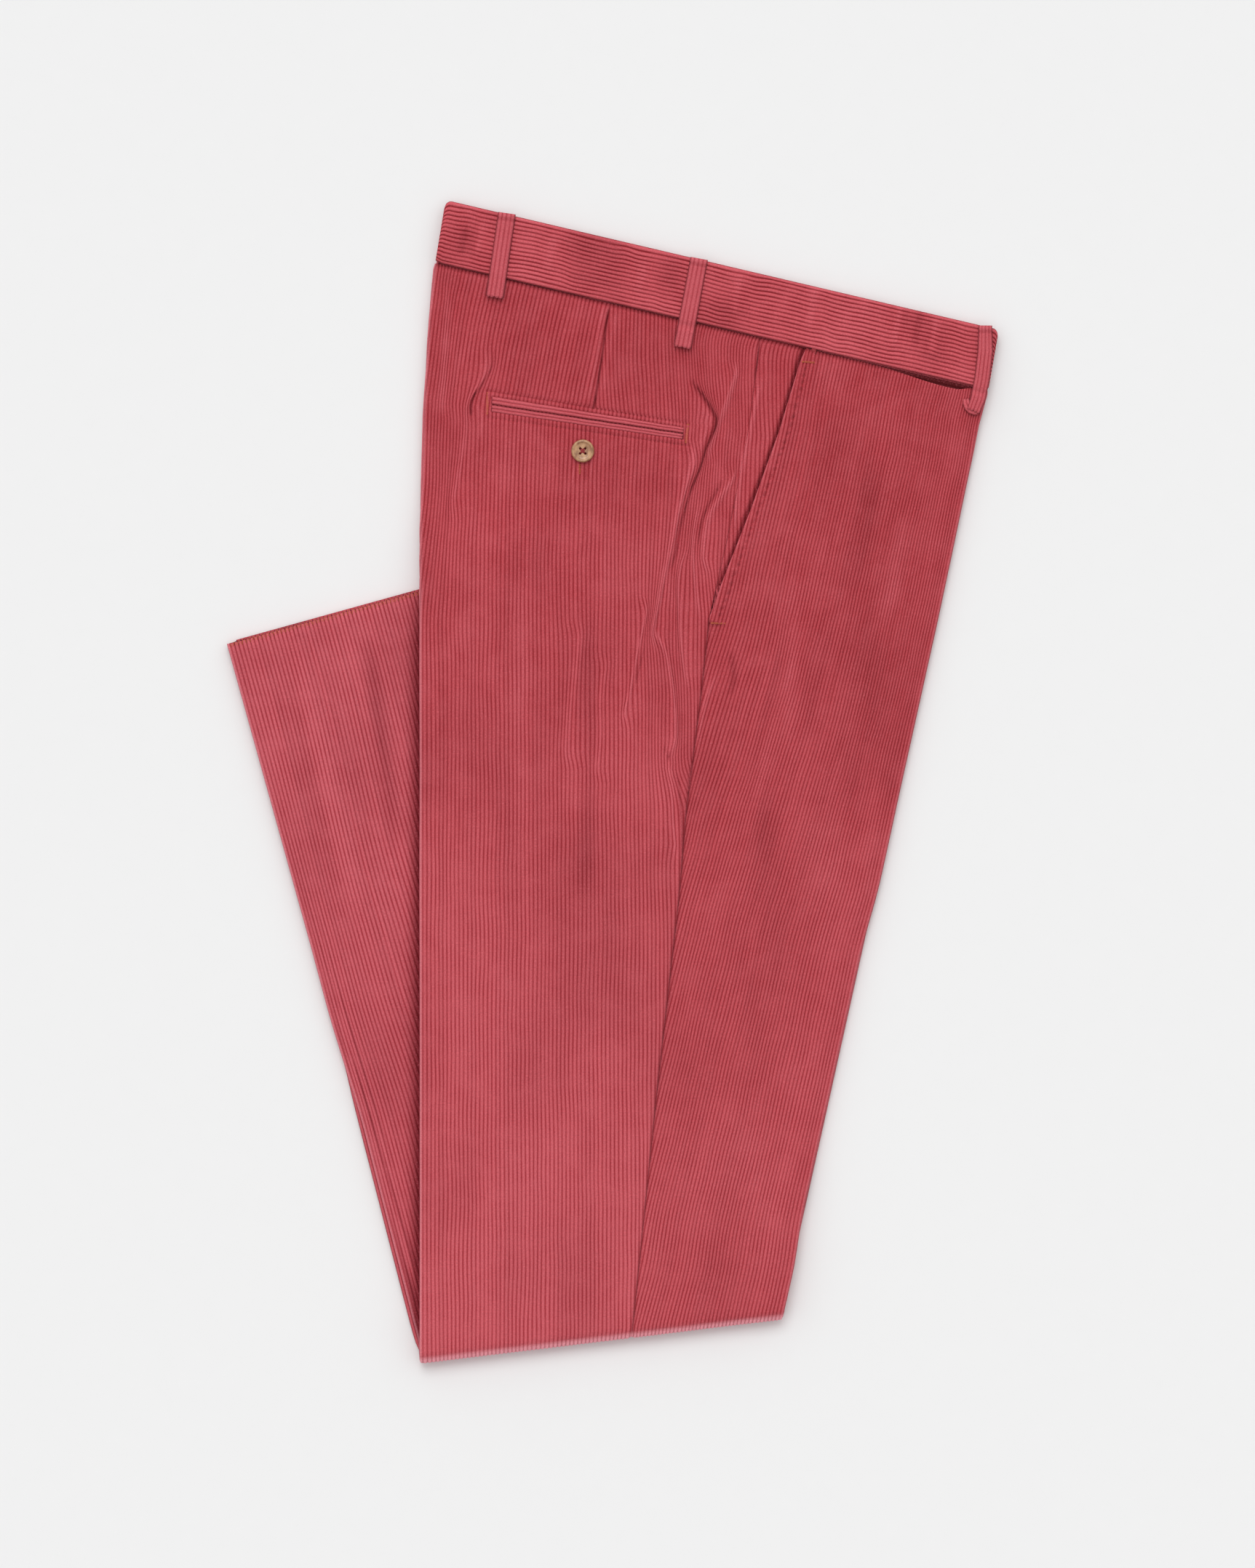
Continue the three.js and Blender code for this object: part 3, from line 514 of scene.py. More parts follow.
class ClothMesh:
    """A closed wall of cloth: rows of fine outer points over a plain inside."""

    def __init__(self) -> None:
        """Starts an empty wall."""
        self.points: list[Array] = []
        self.grain: list[Array] = []
        self.faces: list[tuple[int, int, int]] = []
        self.count = 0

    def rows(self, points: list[Array], keys: list[Array], grain: list[Array]) -> list[tuple[Array, Array]]:
        """Adds rows of points.

        Args:
            points: an (n, 3) array for each row.
            keys: the order number of each point in its row.
            grain: wale distance, length, pile cover, painted sheen weight on edge rolls, and painted fold shade and
                highlight of each point.

        Returns:
            The keys and point numbers of each row.
        """
        out = []
        for row, key, mark in zip(points, keys, grain):
            out.append((key, np.arange(self.count, self.count + len(row))))
            self.points.append(row)
            self.grain.append(mark)
            self.count += len(row)
        return out

    def strip(self, first: tuple[Array, Array], second: tuple[Array, Array]) -> None:
        """Fills between two rows, stepping along whichever has the nearer next key.

        Args:
            first: keys and numbers of one row.
            second: keys and numbers of the other.
        """
        ka, ia = first[0].tolist(), first[1].tolist()
        kb, ib = second[0].tolist(), second[1].tolist()
        i = j = 0
        while i < len(ia) - 1 or j < len(ib) - 1:
            if i < len(ia) - 1 and (j == len(ib) - 1 or ka[i + 1] <= kb[j + 1]):
                self.faces.append((ia[i], ia[i + 1], ib[j]))
                i += 1
            else:
                self.faces.append((ia[i], ib[j + 1], ib[j]))
                j += 1

    def close(self, outer: list[tuple[Array, Array]], inner: list[tuple[Array, Array]]) -> None:
        """Joins outer and inner rows into one closed wall.

        Args:
            outer: the outer rows.
            inner: the inner rows, as many.
        """
        for j in range(len(outer) - 1):
            self.strip(outer[j], outer[j + 1])
            self.strip(inner[j + 1], inner[j])
            for end, flip in ((0, False), (-1, True)):
                a, b = outer[j][1][end], outer[j + 1][1][end]
                c, d = inner[j][1][end], inner[j + 1][1][end]
                quad = [(b, d, a), (d, c, a)]
                self.faces += [tuple(reversed(t)) for t in quad] if flip else quad
        self.strip(inner[0], outer[0])
        self.strip(outer[-1], inner[-1])

    def make(self, name: str, material: bpy.types.Material) -> bpy.types.Object:
        """Makes the Blender object.

        Args:
            name: its name.
            material: its finish.

        Returns:
            The object, in metres.
        """
        points = np.concatenate(self.points) * MM
        faces = np.array(self.faces, dtype=np.int64)
        p, q, r = (points[faces[:, i]] for i in range(3))
        if np.einsum("ij,ij->i", p, np.cross(q, r)).sum() < 0:
            faces = faces[:, ::-1]
        mesh = bpy.data.meshes.new(name)
        mesh.from_pydata(points.tolist(), [], faces.tolist())
        mesh.validate()
        mesh.shade_smooth()
        marks = np.concatenate(self.grain).astype(np.float32)
        grain = mesh.attributes.new("wale", "FLOAT_VECTOR", "POINT")
        grain.data.foreach_set("vector", marks[:, :3].ravel())
        # roll carries the painted sheen weight, and crown the painted shade and highlight.
        for column, title in ((3, "roll"), (4, "crown")):
            layer = mesh.attributes.new(title, "FLOAT", "POINT")
            layer.data.foreach_set("value", marks[:, column].copy())
        mesh.materials.append(material)
        piece = bpy.data.objects.new(name, mesh)
        bpy.context.scene.collection.objects.link(piece)
        return piece


def pocket_lines() -> dict[str, tuple[Point, Point]]:
    """Gives the back pocket's upper, middle and lower line."""
    return {
        "upper": ((-83.3, 266.8), (49.3, 245.3)),
        "middle": ((-83.5, 260.8), (48.6, 240.8)),
        "lower": ((-83.8, 255.3), (47.8, 236.4)),
    }


UPPER_FOLDS: tuple[Fold, ...] = (
    Fold(((52.8, 279), (59.8, 266), (64.8, 256), (66.8, 248), (63.8, 236), (59.8, 225), (56.3, 214), (52.8, 201)),
         -1.5, 3.2, 1.8, pull=0.18, follow=0.4),
    Fold(((84.8, 291), (80.3, 274), (76.3, 261), (71.3, 246), (67.8, 234), (64.8, 221)), 1.7, 1.5, 4.5, pull=0.18,
         follow=0.3),
    Fold(((56.3, 266), (62.3, 256), (63.2, 246), (59.0, 234), (54.8, 221)), 0.45, 4.0, 1.4, pull=0.18),
    Fold(((54.8, 237), (51.8, 219), (47.3, 201), (43.8, 184), (41.8, 169), (39.3, 154), (36.3, 139), (33.8, 121),
          (31.3, 109), (29.3, 89)), 1.7, 4.5, 1.7, taper=22.0, pull=0.18, follow=0.35),
    Fold(((57.3, 219), (51.3, 199), (46.3, 179), (43.8, 159), (40.8, 144)), -1.0, 1.4, 2.6),
    Fold(((84.8, 219), (78.8, 206), (72.8, 196), (67.8, 186), (65.3, 174), (64.3, 159), (65.3, 144)), 1.3, 1.5, 4.0,
         pull=0.18, follow=0.3),
    Fold(((76.3, 211), (70.3, 199), (64.8, 189), (62.3, 176), (61.3, 161)), -0.9, 3.0, 1.4),
    Fold(((101.3, 279), (96.3, 254), (91.8, 234), (87.8, 216), (84.8, 194), (82.8, 174)), 1.0, 1.8, 4.0, pull=0.2),
    Fold(((100.3, 306), (99.3, 289), (97.3, 279)), -0.8, 1.4, 1.4, taper=5.0),
    Fold(((58.8, 194), (56.3, 169), (57.3, 139), (58.8, 114)), 0.8, 2.2, 2.4, pull=0.18, follow=0.8),
    Fold(((51.3, 164), (47.3, 144), (47.8, 119), (48.8, 89), (51.3, 64)), 0.7, 1.8, 2.4, pull=0.25, follow=0.8),
    Fold(((31.3, 109), (34.8, 99), (37.8, 79), (39.8, 59), (41.3, 39), (40.8, 19)), 1.2, 3.2, 1.8, pull=0.18,
         follow=0.5),
    Fold(((34.8, 24), (37.5, 20), (39.8, 16)), -1.1, 1.6, 1.6, taper=3.0),
    Fold(((38.8, 14), (41.3, -1), (40.8, -26), (42.8, -51)), 0.9, 3.0, 3.0, taper=10.0, pull=0.18, follow=0.9),
    Fold(((45.5, 10), (47.5, -20), (47.8, -50)), -0.5, 1.6, 1.6),
    Fold(((21.3, 129), (17.8, 104), (14.8, 84), (11.8, 59), (7.8, 39)), 0.9, 1.8, 2.2, pull=0.18, follow=0.5),
    Fold(((22.3, 99), (17.8, 79), (14.8, 64)), -0.6, 1.4, 1.4),
    Fold(((-23, 112), (-26, 80), (-30, 40), (-31, 10)), 0.35, 5.0, 5.0, pull=0.2, follow=0.5),
    Fold(((-4, 90), (-9, 60), (-8, 30), (-12, 0)), 0.35, 4.0, 4.0, pull=0.2, follow=0.5),
    Fold(((-83, 302), (-84, 290), (-90, 276), (-97, 262), (-98, 245)), -0.6, 2.2, 3.2, taper=20.0, follow=0.3),
    Fold(((-88, 300), (-89, 288), (-93, 274), (-99, 262), (-101, 240), (-104, 214), (-110, 180)), 0.55, 4.5, 2.4,
         taper=24.0, pull=0.18, follow=0.3),
    Fold(((-94, 272), (-95.5, 263), (-96, 252)), -0.9, 1.4, 1.4, taper=4.0),
    Fold(((-114, 345), (-115, 310), (-118, 250)), 0.6, 6.0, 5.0, pull=0.18, follow=0.3),
    Fold(((-92, 262), (-90, 250), (-92, 236)), 0.6, 2.5, 2.5, taper=6.0),
    Fold(((128, 110), (112, 40), (99, -20)), 0.35, 13.0, 13.0, taper=40.0, pull=0.12),
    Fold(((118, 110), (103, 40), (90, -20)), -0.2, 7.0, 8.0, taper=40.0),
    Fold(((118, 100), (112, 40), (100, -60)), -0.3, 12.0, 12.0, taper=30.0),
    Fold(((-26.3, 219), (-27.5, 212), (-28, 205)), 0.8, 1.6, 1.6, taper=5.0),
    Fold(((-14.8, 239), (-14.6, 222), (-15.5, 209)), 0.8, 1.4, 1.6, taper=6.0),
    Fold(((-18.5, 219), (-19.5, 207)), -0.5, 1.6, 1.6, taper=4.0),
    Fold(((-1.8, 331), (-7.5, 296), (-13.8, 257)), -1.5, 1.1, 1.6, taper=3.0),
    Fold(((-5, 331), (-11, 296), (-17, 262)), 0.6, 3.5, 2.0, taper=10.0),
    Fold(((3, 327), (-3, 296), (-8, 268)), 0.4, 2.0, 3.5, taper=10.0),
    Fold(((-60, 150), (-66, 60), (-62, -40)), 0.3, 14.0, 14.0, taper=40.0),
    Fold(((-20, 120), (-14, 20), (-22, -90)), -0.3, 14.0, 14.0, taper=40.0),
    Fold(((180, 230), (176, 180), (160, 120)), -0.4, 16.0, 16.0, taper=40.0),
    Fold(((205, 200), (196, 150), (180, 90)), 0.35, 12.0, 12.0, taper=40.0),
    Fold(((72, 76), (64, 60), (60, 40), (57, 20)), 0.6, 2.5, 3.0, pull=0.2),
    Fold(((80, 92), (84, 74), (80, 60)), -0.5, 4.0, 4.0, taper=8.0),
)


BACK_GATHERS: tuple[Gather, ...] = (
    Gather(((54, 300), (64, 255), (60, 225), (51, 190), (43, 150), (36, 120), (33, 90), (38, 60), (40, 20)),
           15.0, 0.45),
    Gather(((86, 290), (79, 250), (72, 200), (66, 150)), 9.0, 0.40),
    Gather(((-122, 350), (-118, 300), (-114, 250), (-116, 215)), 17.0, 0.34, taper=110.0),
)
FOLD_GAIN = 1.1


class Relief:
    """All soft height on the upper legs: placed folds and gentle unevenness."""

    def __init__(self) -> None:
        """Sets up the gentle unevenness."""
        self.broad = Unevenness(11, 42.0, 70.0)
        self.narrow = Unevenness(12, 14.0, 50.0)
        self.sway = Unevenness(13, 24.0, 44.0)
        self.waver = Unevenness(14, 10.0, 21.0)

    def lift(self, x: Array, y: Array) -> tuple[Array, Array]:
        """Works out height and sideways shift.

        Args:
            x: places in x.
            y: places in y.

        Returns:
            Height and sideways shift at each place.
        """
        rise = 0.25 * self.broad.at(x, y) + 0.12 * self.narrow.at(x, y)
        shift = 0.7 * self.sway.at(x, y) + 0.3 * self.waver.at(x, y)
        for fold in UPPER_FOLDS:
            x0, x1, y0, y1 = fold.box()
            near = (x > x0) & (x < x1) & (y > y0) & (y < y1)
            if near.any():
                high, aside = fold.effect(x[near], y[near])
                rise[near] += FOLD_GAIN * high
                shift[near] += aside
        under = STACK.waist_seam.y_at(x) - y
        tucked = 1.3 * (1 - smooth(under / 4.2))
        return np.clip(rise * smooth(under / 9.0) - tucked, -1.3, 3.6), shift


RELIEF = Relief()


def rolled_edge(arc: Array, lift: Array) -> tuple[Array, Array]:
    """Works out how points lie round a panel's rolled edge.

    Args:
        arc: distance round the roll.
        lift: height over the smooth cloth.

    Returns:
        How far each point stands out, and how far below the top it lies.
    """
    r = STACK.edge_radius
    angle = np.minimum(arc / r, math.pi)
    rolled = arc > 0
    out = np.where(rolled, (r + lift) * np.sin(angle) - np.maximum(arc - math.pi * r, 0), 0.0)
    return out, np.where(rolled, r - (r + lift) * np.cos(angle), -lift)


def leg_points(spots: Spots, lift: Array, shift: Array) -> Array:
    """Places the points of a row on the upper legs.

    Args:
        spots: the row.
        lift: height of each point over the smooth cloth.
        shift: sideways shift of each point.

    Returns:
        An (n, 3) array in mm.
    """
    x, y, arc = (np.array(v, float) for v in (spots.x, spots.y, spots.arc))
    top = STACK.top_at(x, y)
    out, depth = rolled_edge(arc, lift)
    moved = x + shift * (arc <= 0)
    if spots.key[-1] > spots.key[0]:
        moved = np.maximum(np.maximum.accumulate(moved), x + shift)
    px = moved + spots.side * out
    if spots.turn == 0:
        return np.stack([px, y, top - depth], axis=1)
    knee = STACK.knee_radius
    reach = (knee - depth) * math.sin(spots.turn)
    lean = -0.2 * smooth((x + 132.0) / 250.0)
    return np.stack([px + reach * lean, y - reach * np.sqrt(1 - lean**2),
                     top - knee + (knee - depth) * math.cos(spots.turn)], axis=1)


class LegPanel:
    """A cloth panel of the upper legs, built from rows of spots."""

    name = "panel"
    node = "panel"
    pitch = 2.8

    def rows(self) -> list[Spots]:
        """Lists the rows of the panel."""
        raise NotImplementedError

    def extra(self, x: Array, y: Array) -> Array:
        """Extra height of the cloth at each place; none unless a panel has some."""
        return np.zeros(x.shape)

    def build(self, material: bpy.types.Material) -> bpy.types.Object:
        """Builds the panel as a closed wall.

        Args:
            material: its finish.

        Returns:
            The piece.
        """
        mesh = ClothMesh()
        outer, inner, keys, inside_keys, grain, inside_grain = [], [], [], [], [], []
        for spots in self.rows():
            x, y, arc, key, own = (np.array(v, float)
                                   for v in (spots.x, spots.y, spots.arc, spots.key, spots.lift))
            kept = np.array(spots.kept)
            ease = np.clip(1 - arc / (math.pi * STACK.edge_radius), 0, 1) * (1 - spots.turn / 2.7)
            high, shift = RELIEF.lift(x, y)
            run = np.hypot(x - x[0], y - y[0])
            taper = smooth(np.minimum(run, run.max() - run) / 7.0)
            start_lift, start_shade = spots.first.effect(run)
            end_lift, end_shade = spots.last.effect(run.max() - run)
            added = self.extra(x, y) * (arc == 0)
            soft = high * ease + own + added + start_lift + end_lift
            pile = Wale.height(key, self.pitch)
            pile[[0, -1]] = 0.3
            cover = Wale.cover(key, self.pitch)
            outer.append(leg_points(spots, soft + STACK.relief * pile, shift * taper))
            under = np.minimum(np.maximum(soft, 0) * (arc == 0) - STACK.cloth, soft - 0.4)
            inner.append(leg_points(spots, under, shift * taper)[kept])
            keys.append(key)
            inside_keys.append(key[kept])
            length = -y + spots.turn * STACK.knee_radius
            # edge and knee weigh the painted sheen on the rolled edge and round the knee fold.
            edge = np.sin(np.clip(arc / STACK.edge_radius, 0.0, math.pi)) * (0.4 if spots.side < 0 else 0.15)
            # crown paints shade in troughs, pinches and borders and a painted highlight on ridges, from the fold
            # height.
            crown = np.clip(high * ease / 1.5 + 0.3 * added + start_shade + end_shade, -1.0, 1.0)
            knee = float(smooth((math.sin(spots.turn) - 0.32) / 0.52)) if spots.turn < 1.6 else 1.0
            marks = np.stack([key, length, cover, np.maximum(edge, knee), crown], axis=1)
            grain.append(marks)
            inside_grain.append(marks[kept])
        mesh.close(mesh.rows(outer, keys, grain), mesh.rows(inner, inside_keys, inside_grain))
        return mesh.make(self.name, material)


@dataclass
class BackPanel(LegPanel):
    """The right back panel, rolled round the back edge, with its dart and pocket opening."""

    name: str = "right_back_cloth"
    node: str = "right_back_panel"
    pitch: float = 2.8
    dart_top: Point = (-1.8, 331.0)
    dart_tip: Point = (-13.8, 259.0)
    dart_take: float = 0.1

    def spread(self, row: CrossRow) -> tuple[Array, Array, Array]:
        """Works out where a row's wales lie.

        Args:
            row: the row.

        Returns:
            Places along the row in x and in y, and the wale distance at each before the dart.
        """
        x = np.linspace(row.back[0] + STACK.edge_radius, row.seam[0] - STACK.close_gap, 160)
        y = np.interp(x, (x[0], x[-1]), (row.back[1], row.seam[1]))
        key = x - x[0]
        for gather in BACK_GATHERS:
            key = key + gather.extra(x, y)
        return x, y, key

    def dart_rise(self, row: CrossRow) -> float:
        """Gives how far above the dart's tip a row crosses it, 0 below the tip."""
        x, y, _ = self.spread(row)
        return max(float(np.interp(self.dart_tip[0], x, y)) - self.dart_tip[1], 0.0)

    def last_key(self, row: CrossRow) -> float:
        """Gives the wale distance at the side seam, counted past the dart."""
        return float(self.spread(row)[2][-1]) + self.dart_take * self.dart_rise(row)

    def rows(self) -> list[Spots]:
        """Lists the rows, from under the back edge to the side seam.

        Returns:
            The rows of spots.
        """
        arc_end = math.pi * STACK.edge_radius + 2.4
        lean = (self.dart_top[0] - self.dart_tip[0]) / (self.dart_top[1] - self.dart_tip[1])
        out = []
        for row in RowPlan(pocket_step=1.5).rows():
            x, y, key = self.spread(row)
            top, end = (float(x[0]), float(y[0])), (float(x[-1]), float(y[-1]))

            def stretch(first: float, last: float) -> Callable[[float], tuple[Point, float, float]]:
                """Makes the function that places a share of the way between two wale distances.

                Args:
                    first: wale distance at the start.
                    last: wale distance at the end.

                Returns:
                    A function from share to place, arc and lift.
                """
                def make(share: float) -> tuple[Point, float, float]:
                    """Place, arc and lift at the share."""
                    at = float(np.interp(first + (last - first) * share, key, x))
                    return (at, float(np.interp(at, x, y))), 0.0, 0.0

                return make

            shift = 0.112 * max(row.back[1] - self.dart_tip[1] - 5, 0)
            start = float(key[0]) - shift
            seam = Border.SOFT if row.turn == 0 and row.seam[1] > FrontPanel.mouth_end else Border.SEAM
            spots = Spots(turn=row.turn, side=-1.0, last=seam)
            spots.add(start - arc_end, top, arc_end, kept=True)
            spots.fill(start - arc_end, start, self.pitch, lambda t: (top, arc_end * (1 - t), 0.0), True)
            rise = self.dart_rise(row)
            last = float(key[-1])
            if rise > 0:
                cut = float(np.interp(self.dart_tip[0] + lean * rise, x, key))
                right = cut + self.dart_take * rise
                spots.fill(start, cut - shift, self.pitch, stretch(float(key[0]), cut))
                spots.add((cut - shift + right) / 2, stretch(cut, last)(0.0)[0], kept=True)
                spots.fill(right, right + last - cut, self.pitch, stretch(cut, last))
            else:
                spots.fill(start, last, self.pitch, stretch(float(key[0]), last))
            spots.add(self.last_key(row), end, kept=True)
            out.append(spots)
        return out

    def extra(self, x: Array, y: Array) -> Array:
        """Sinks the cloth in the pocket opening and pinches it along the pocket stitching.

        Args:
            x: places in x.
            y: places in y.

        Returns:
            The extra height.
        """
        lines = pocket_lines()

        def line_y(line: tuple[Point, Point]) -> Array:
            """Height of a pocket line at each place."""
            (x0, y0), (x1, y1) = line
            return y0 + (x - x0) * (y1 - y0) / (x1 - x0)

        upper, lower = line_y(lines["upper"]), line_y(lines["lower"])
        wide = smooth((x + 84.0) / 0.8) * smooth((48.8 - x) / 0.8)
        inside = smooth((upper - y) / 0.8) * smooth((y - lower) / 0.8) * wide
        around = smooth((x + 88.0) / 2.0) * smooth((54.0 - x) / 2.0)
        pinch = np.zeros(x.shape)
        for centre in (upper + 3.0, lower - 3.2):
            pinch += 0.8 * np.exp(-(((y - centre) / 0.9) ** 2)) * around
        puff = 0.35 * np.exp(-(((y - upper - 1.2) / 1.0) ** 2)) * around
        return -1.3 * inside - pinch * (1 - inside) + puff


@dataclass
class FrontPanel(LegPanel):
    """The right front panel, from the pocket mouth and side seam round the front edge."""

    name: str = "right_front_cloth"
    node: str = "right_front_panel"
    pitch: float = 2.25
    lean: float = 0.2164
    coin_gap: float = 4.3
    mouth_end: float = 111.0
    topstitch: float = 5.8
    fan: float = 0.32

    def rows(self) -> list[Spots]:
        """Lists the rows, from the pocket mouth or side seam to under the front edge.

        Returns:
            The rows of spots.
        """
        r = STACK.edge_radius
        arc_end = math.pi * r + 2.4
        out = []
        for row in RowPlan(mouth_step=1.8).rows():
            mouth = row.mouth(STACK.mouth)
            open_side = row.turn == 0 and mouth[0] - row.seam[0] > 0.25
            side = mouth if open_side else row.seam
            start = (side[0] + STACK.close_gap, side[1])
            top = (row.front[0] - r - self.inset(row.front[1]), row.front[1])
            across = math.sqrt(1 - self.lean**2)
            width = (top[0] - start[0]) * across - (top[1] - start[1]) * self.lean
            wide = float(np.interp(row.front[1], (-370, -50, 100, 290), (2.46, 2.3, 2.2, 2.12)))
            width_key = width * self.pitch / wide
            bend = 0.05 * max(row.front[1] - 215.0, 0.0)
            spots = Spots(turn=row.turn, side=1.0, first=Border.SEAM)
            if row.turn == 0 and start[1] > self.mouth_end:
                spots.first = Border.MOUTH
            make = self.maker(start, top)
            spots.add(-width_key + bend, start, kept=True)
            spots.fill(-width_key + bend, bend, self.pitch, make)
            spots.fill(bend, arc_end + bend, self.pitch, lambda t: (top, arc_end * t, 0.0), True)
            spots.add(arc_end + bend, top, arc_end, kept=True)
            out.append(spots)
        return out

    @staticmethod
    def inset(y: float) -> float:
        """Gives how far the front edge draws in, so that the leg below shows beside it."""
        return 2.3 * float(smooth((-65.0 - y) / 55.0) * smooth((y + 338.0) / 45.0))

    def maker(self, start: Point, top: Point) -> Callable[[float], tuple[Point, float, float]]:
        """Makes the function that places a share of a row.

        Args:
            start: the row's first point.
            top: its last point before the edge roll.

        Returns:
            A function from share to place, arc and lift.
        """
        fan = self.fan * float(smooth((start[1] + 60.0) / 150.0))

        def make(share: float) -> tuple[Point, float, float]:
            """Place, arc and lift at a share of the row."""
            x, y = between(start, top, share + fan * (share - share**2) / 2)
            drop = self.coin_drop(x, y)
            return (x, y - drop), 0.0, 0.25 * drop

        return make

    def extra(self, x: Array, y: Array) -> Array:
        """Puckers the cloth along the pocket mouth's topstitching.

        Args:
            x: places in x.
            y: places in y.

        Returns:
            The extra height.
        """
        mouth = np.array([STACK.mouth.x_at(v) for v in y])
        away = (x - mouth) * 0.94 - self.topstitch - 0.5 * np.sin(y / 17.0)
        beside = smooth((y - self.mouth_end) / 6.0) * smooth((291.0 - y) / 6.0)
        pucker = 0.55 + 0.45 * np.sin(y * 1.15 + 2.0 * np.sin(y / 9.0))
        ripple = 0.16 * np.sin(y * 0.62 + 1.7 * np.sin(y / 13.0)) * np.exp(-(((away + 3.0) / 3.2) ** 2))
        return beside * (ripple - 1.15 * pucker * np.exp(-((away / 1.15) ** 2)))

    def coin_drop(self, x: float, y: float) -> float:
        """Lowers the cloth's top edge where the coin pocket opens under the waistband.

        Args:
            x: place in x.
            y: place in y.

        Returns:
            How far the cloth is drawn down there.
        """
        under = STACK.waist_seam.y_at(x) - y
        span = float(smooth((x - 176.0) / 52.0) * smooth((250.0 - x) / 15.0))
        return self.coin_gap * span * max(0.0, 1.0 - under / 22.0)


@dataclass
class CoinPocket:
    """The lining that shows in the coin pocket's slit under the waistband, coloured near black as painted shadow in the
    slit.
    """

    name: str = "coin_pocket_lining_painted_shadow"
    first: float = 177.0
    last: float = 249.0
    depth: float = 7.0
    wall: float = 0.6

    def build(self, material: bpy.types.Material) -> bpy.types.Object:
        """Builds the lining.

        Args:
            material: its finish.

        Returns:
            The piece.
        """
        stations = []
        count = 24
        for i in range(count + 1):
            x = self.first + (self.last - self.first) * i / count
            y = STACK.waist_seam.y_at(x)
            low = float(STACK.top_at(np.array(x), np.array(y))) - STACK.cloth - 0.3
            stations.append(((x, y - self.depth), (x, y + 0.6), low))
        return Strip(self.name, stations, 2, self.wall, 0.2, 1.0).build(material)


@dataclass
class PocketFacing(LegPanel):
    """The cloth behind the slanted pocket mouth."""

    name: str = "side_pocket_facing_cloth"
    node: str = "side_pocket_facing"
    pitch: float = 2.8
    tucked: float = 4.0

    def rows(self) -> list[Spots]:
        """Lists the rows, from the side seam to under the pocket mouth.

        Returns:
            The rows of spots.
        """
        back = BackPanel()
        out = []
        for row in RowPlan().rows():
            mouth = row.mouth(STACK.mouth)
            if row.turn > 0 or mouth[0] - row.seam[0] < 0.6:
                break
            start = (row.seam[0] + STACK.close_gap, row.seam[1])
            end = (mouth[0] + self.tucked, mouth[1])
            first = back.last_key(row)
            keys = (first, first + end[0] - start[0])
            spots = Spots(side=1.0, first=Border.SOFT, last=Border.UNDER)
            spots.add(keys[0], start, kept=True)
            spots.fill(keys[0], keys[1], self.pitch, lambda t: (between(start, end, t), 0.0, 0.0))
            spots.add(keys[1], end, kept=True)
            out.append(spots)
        return out


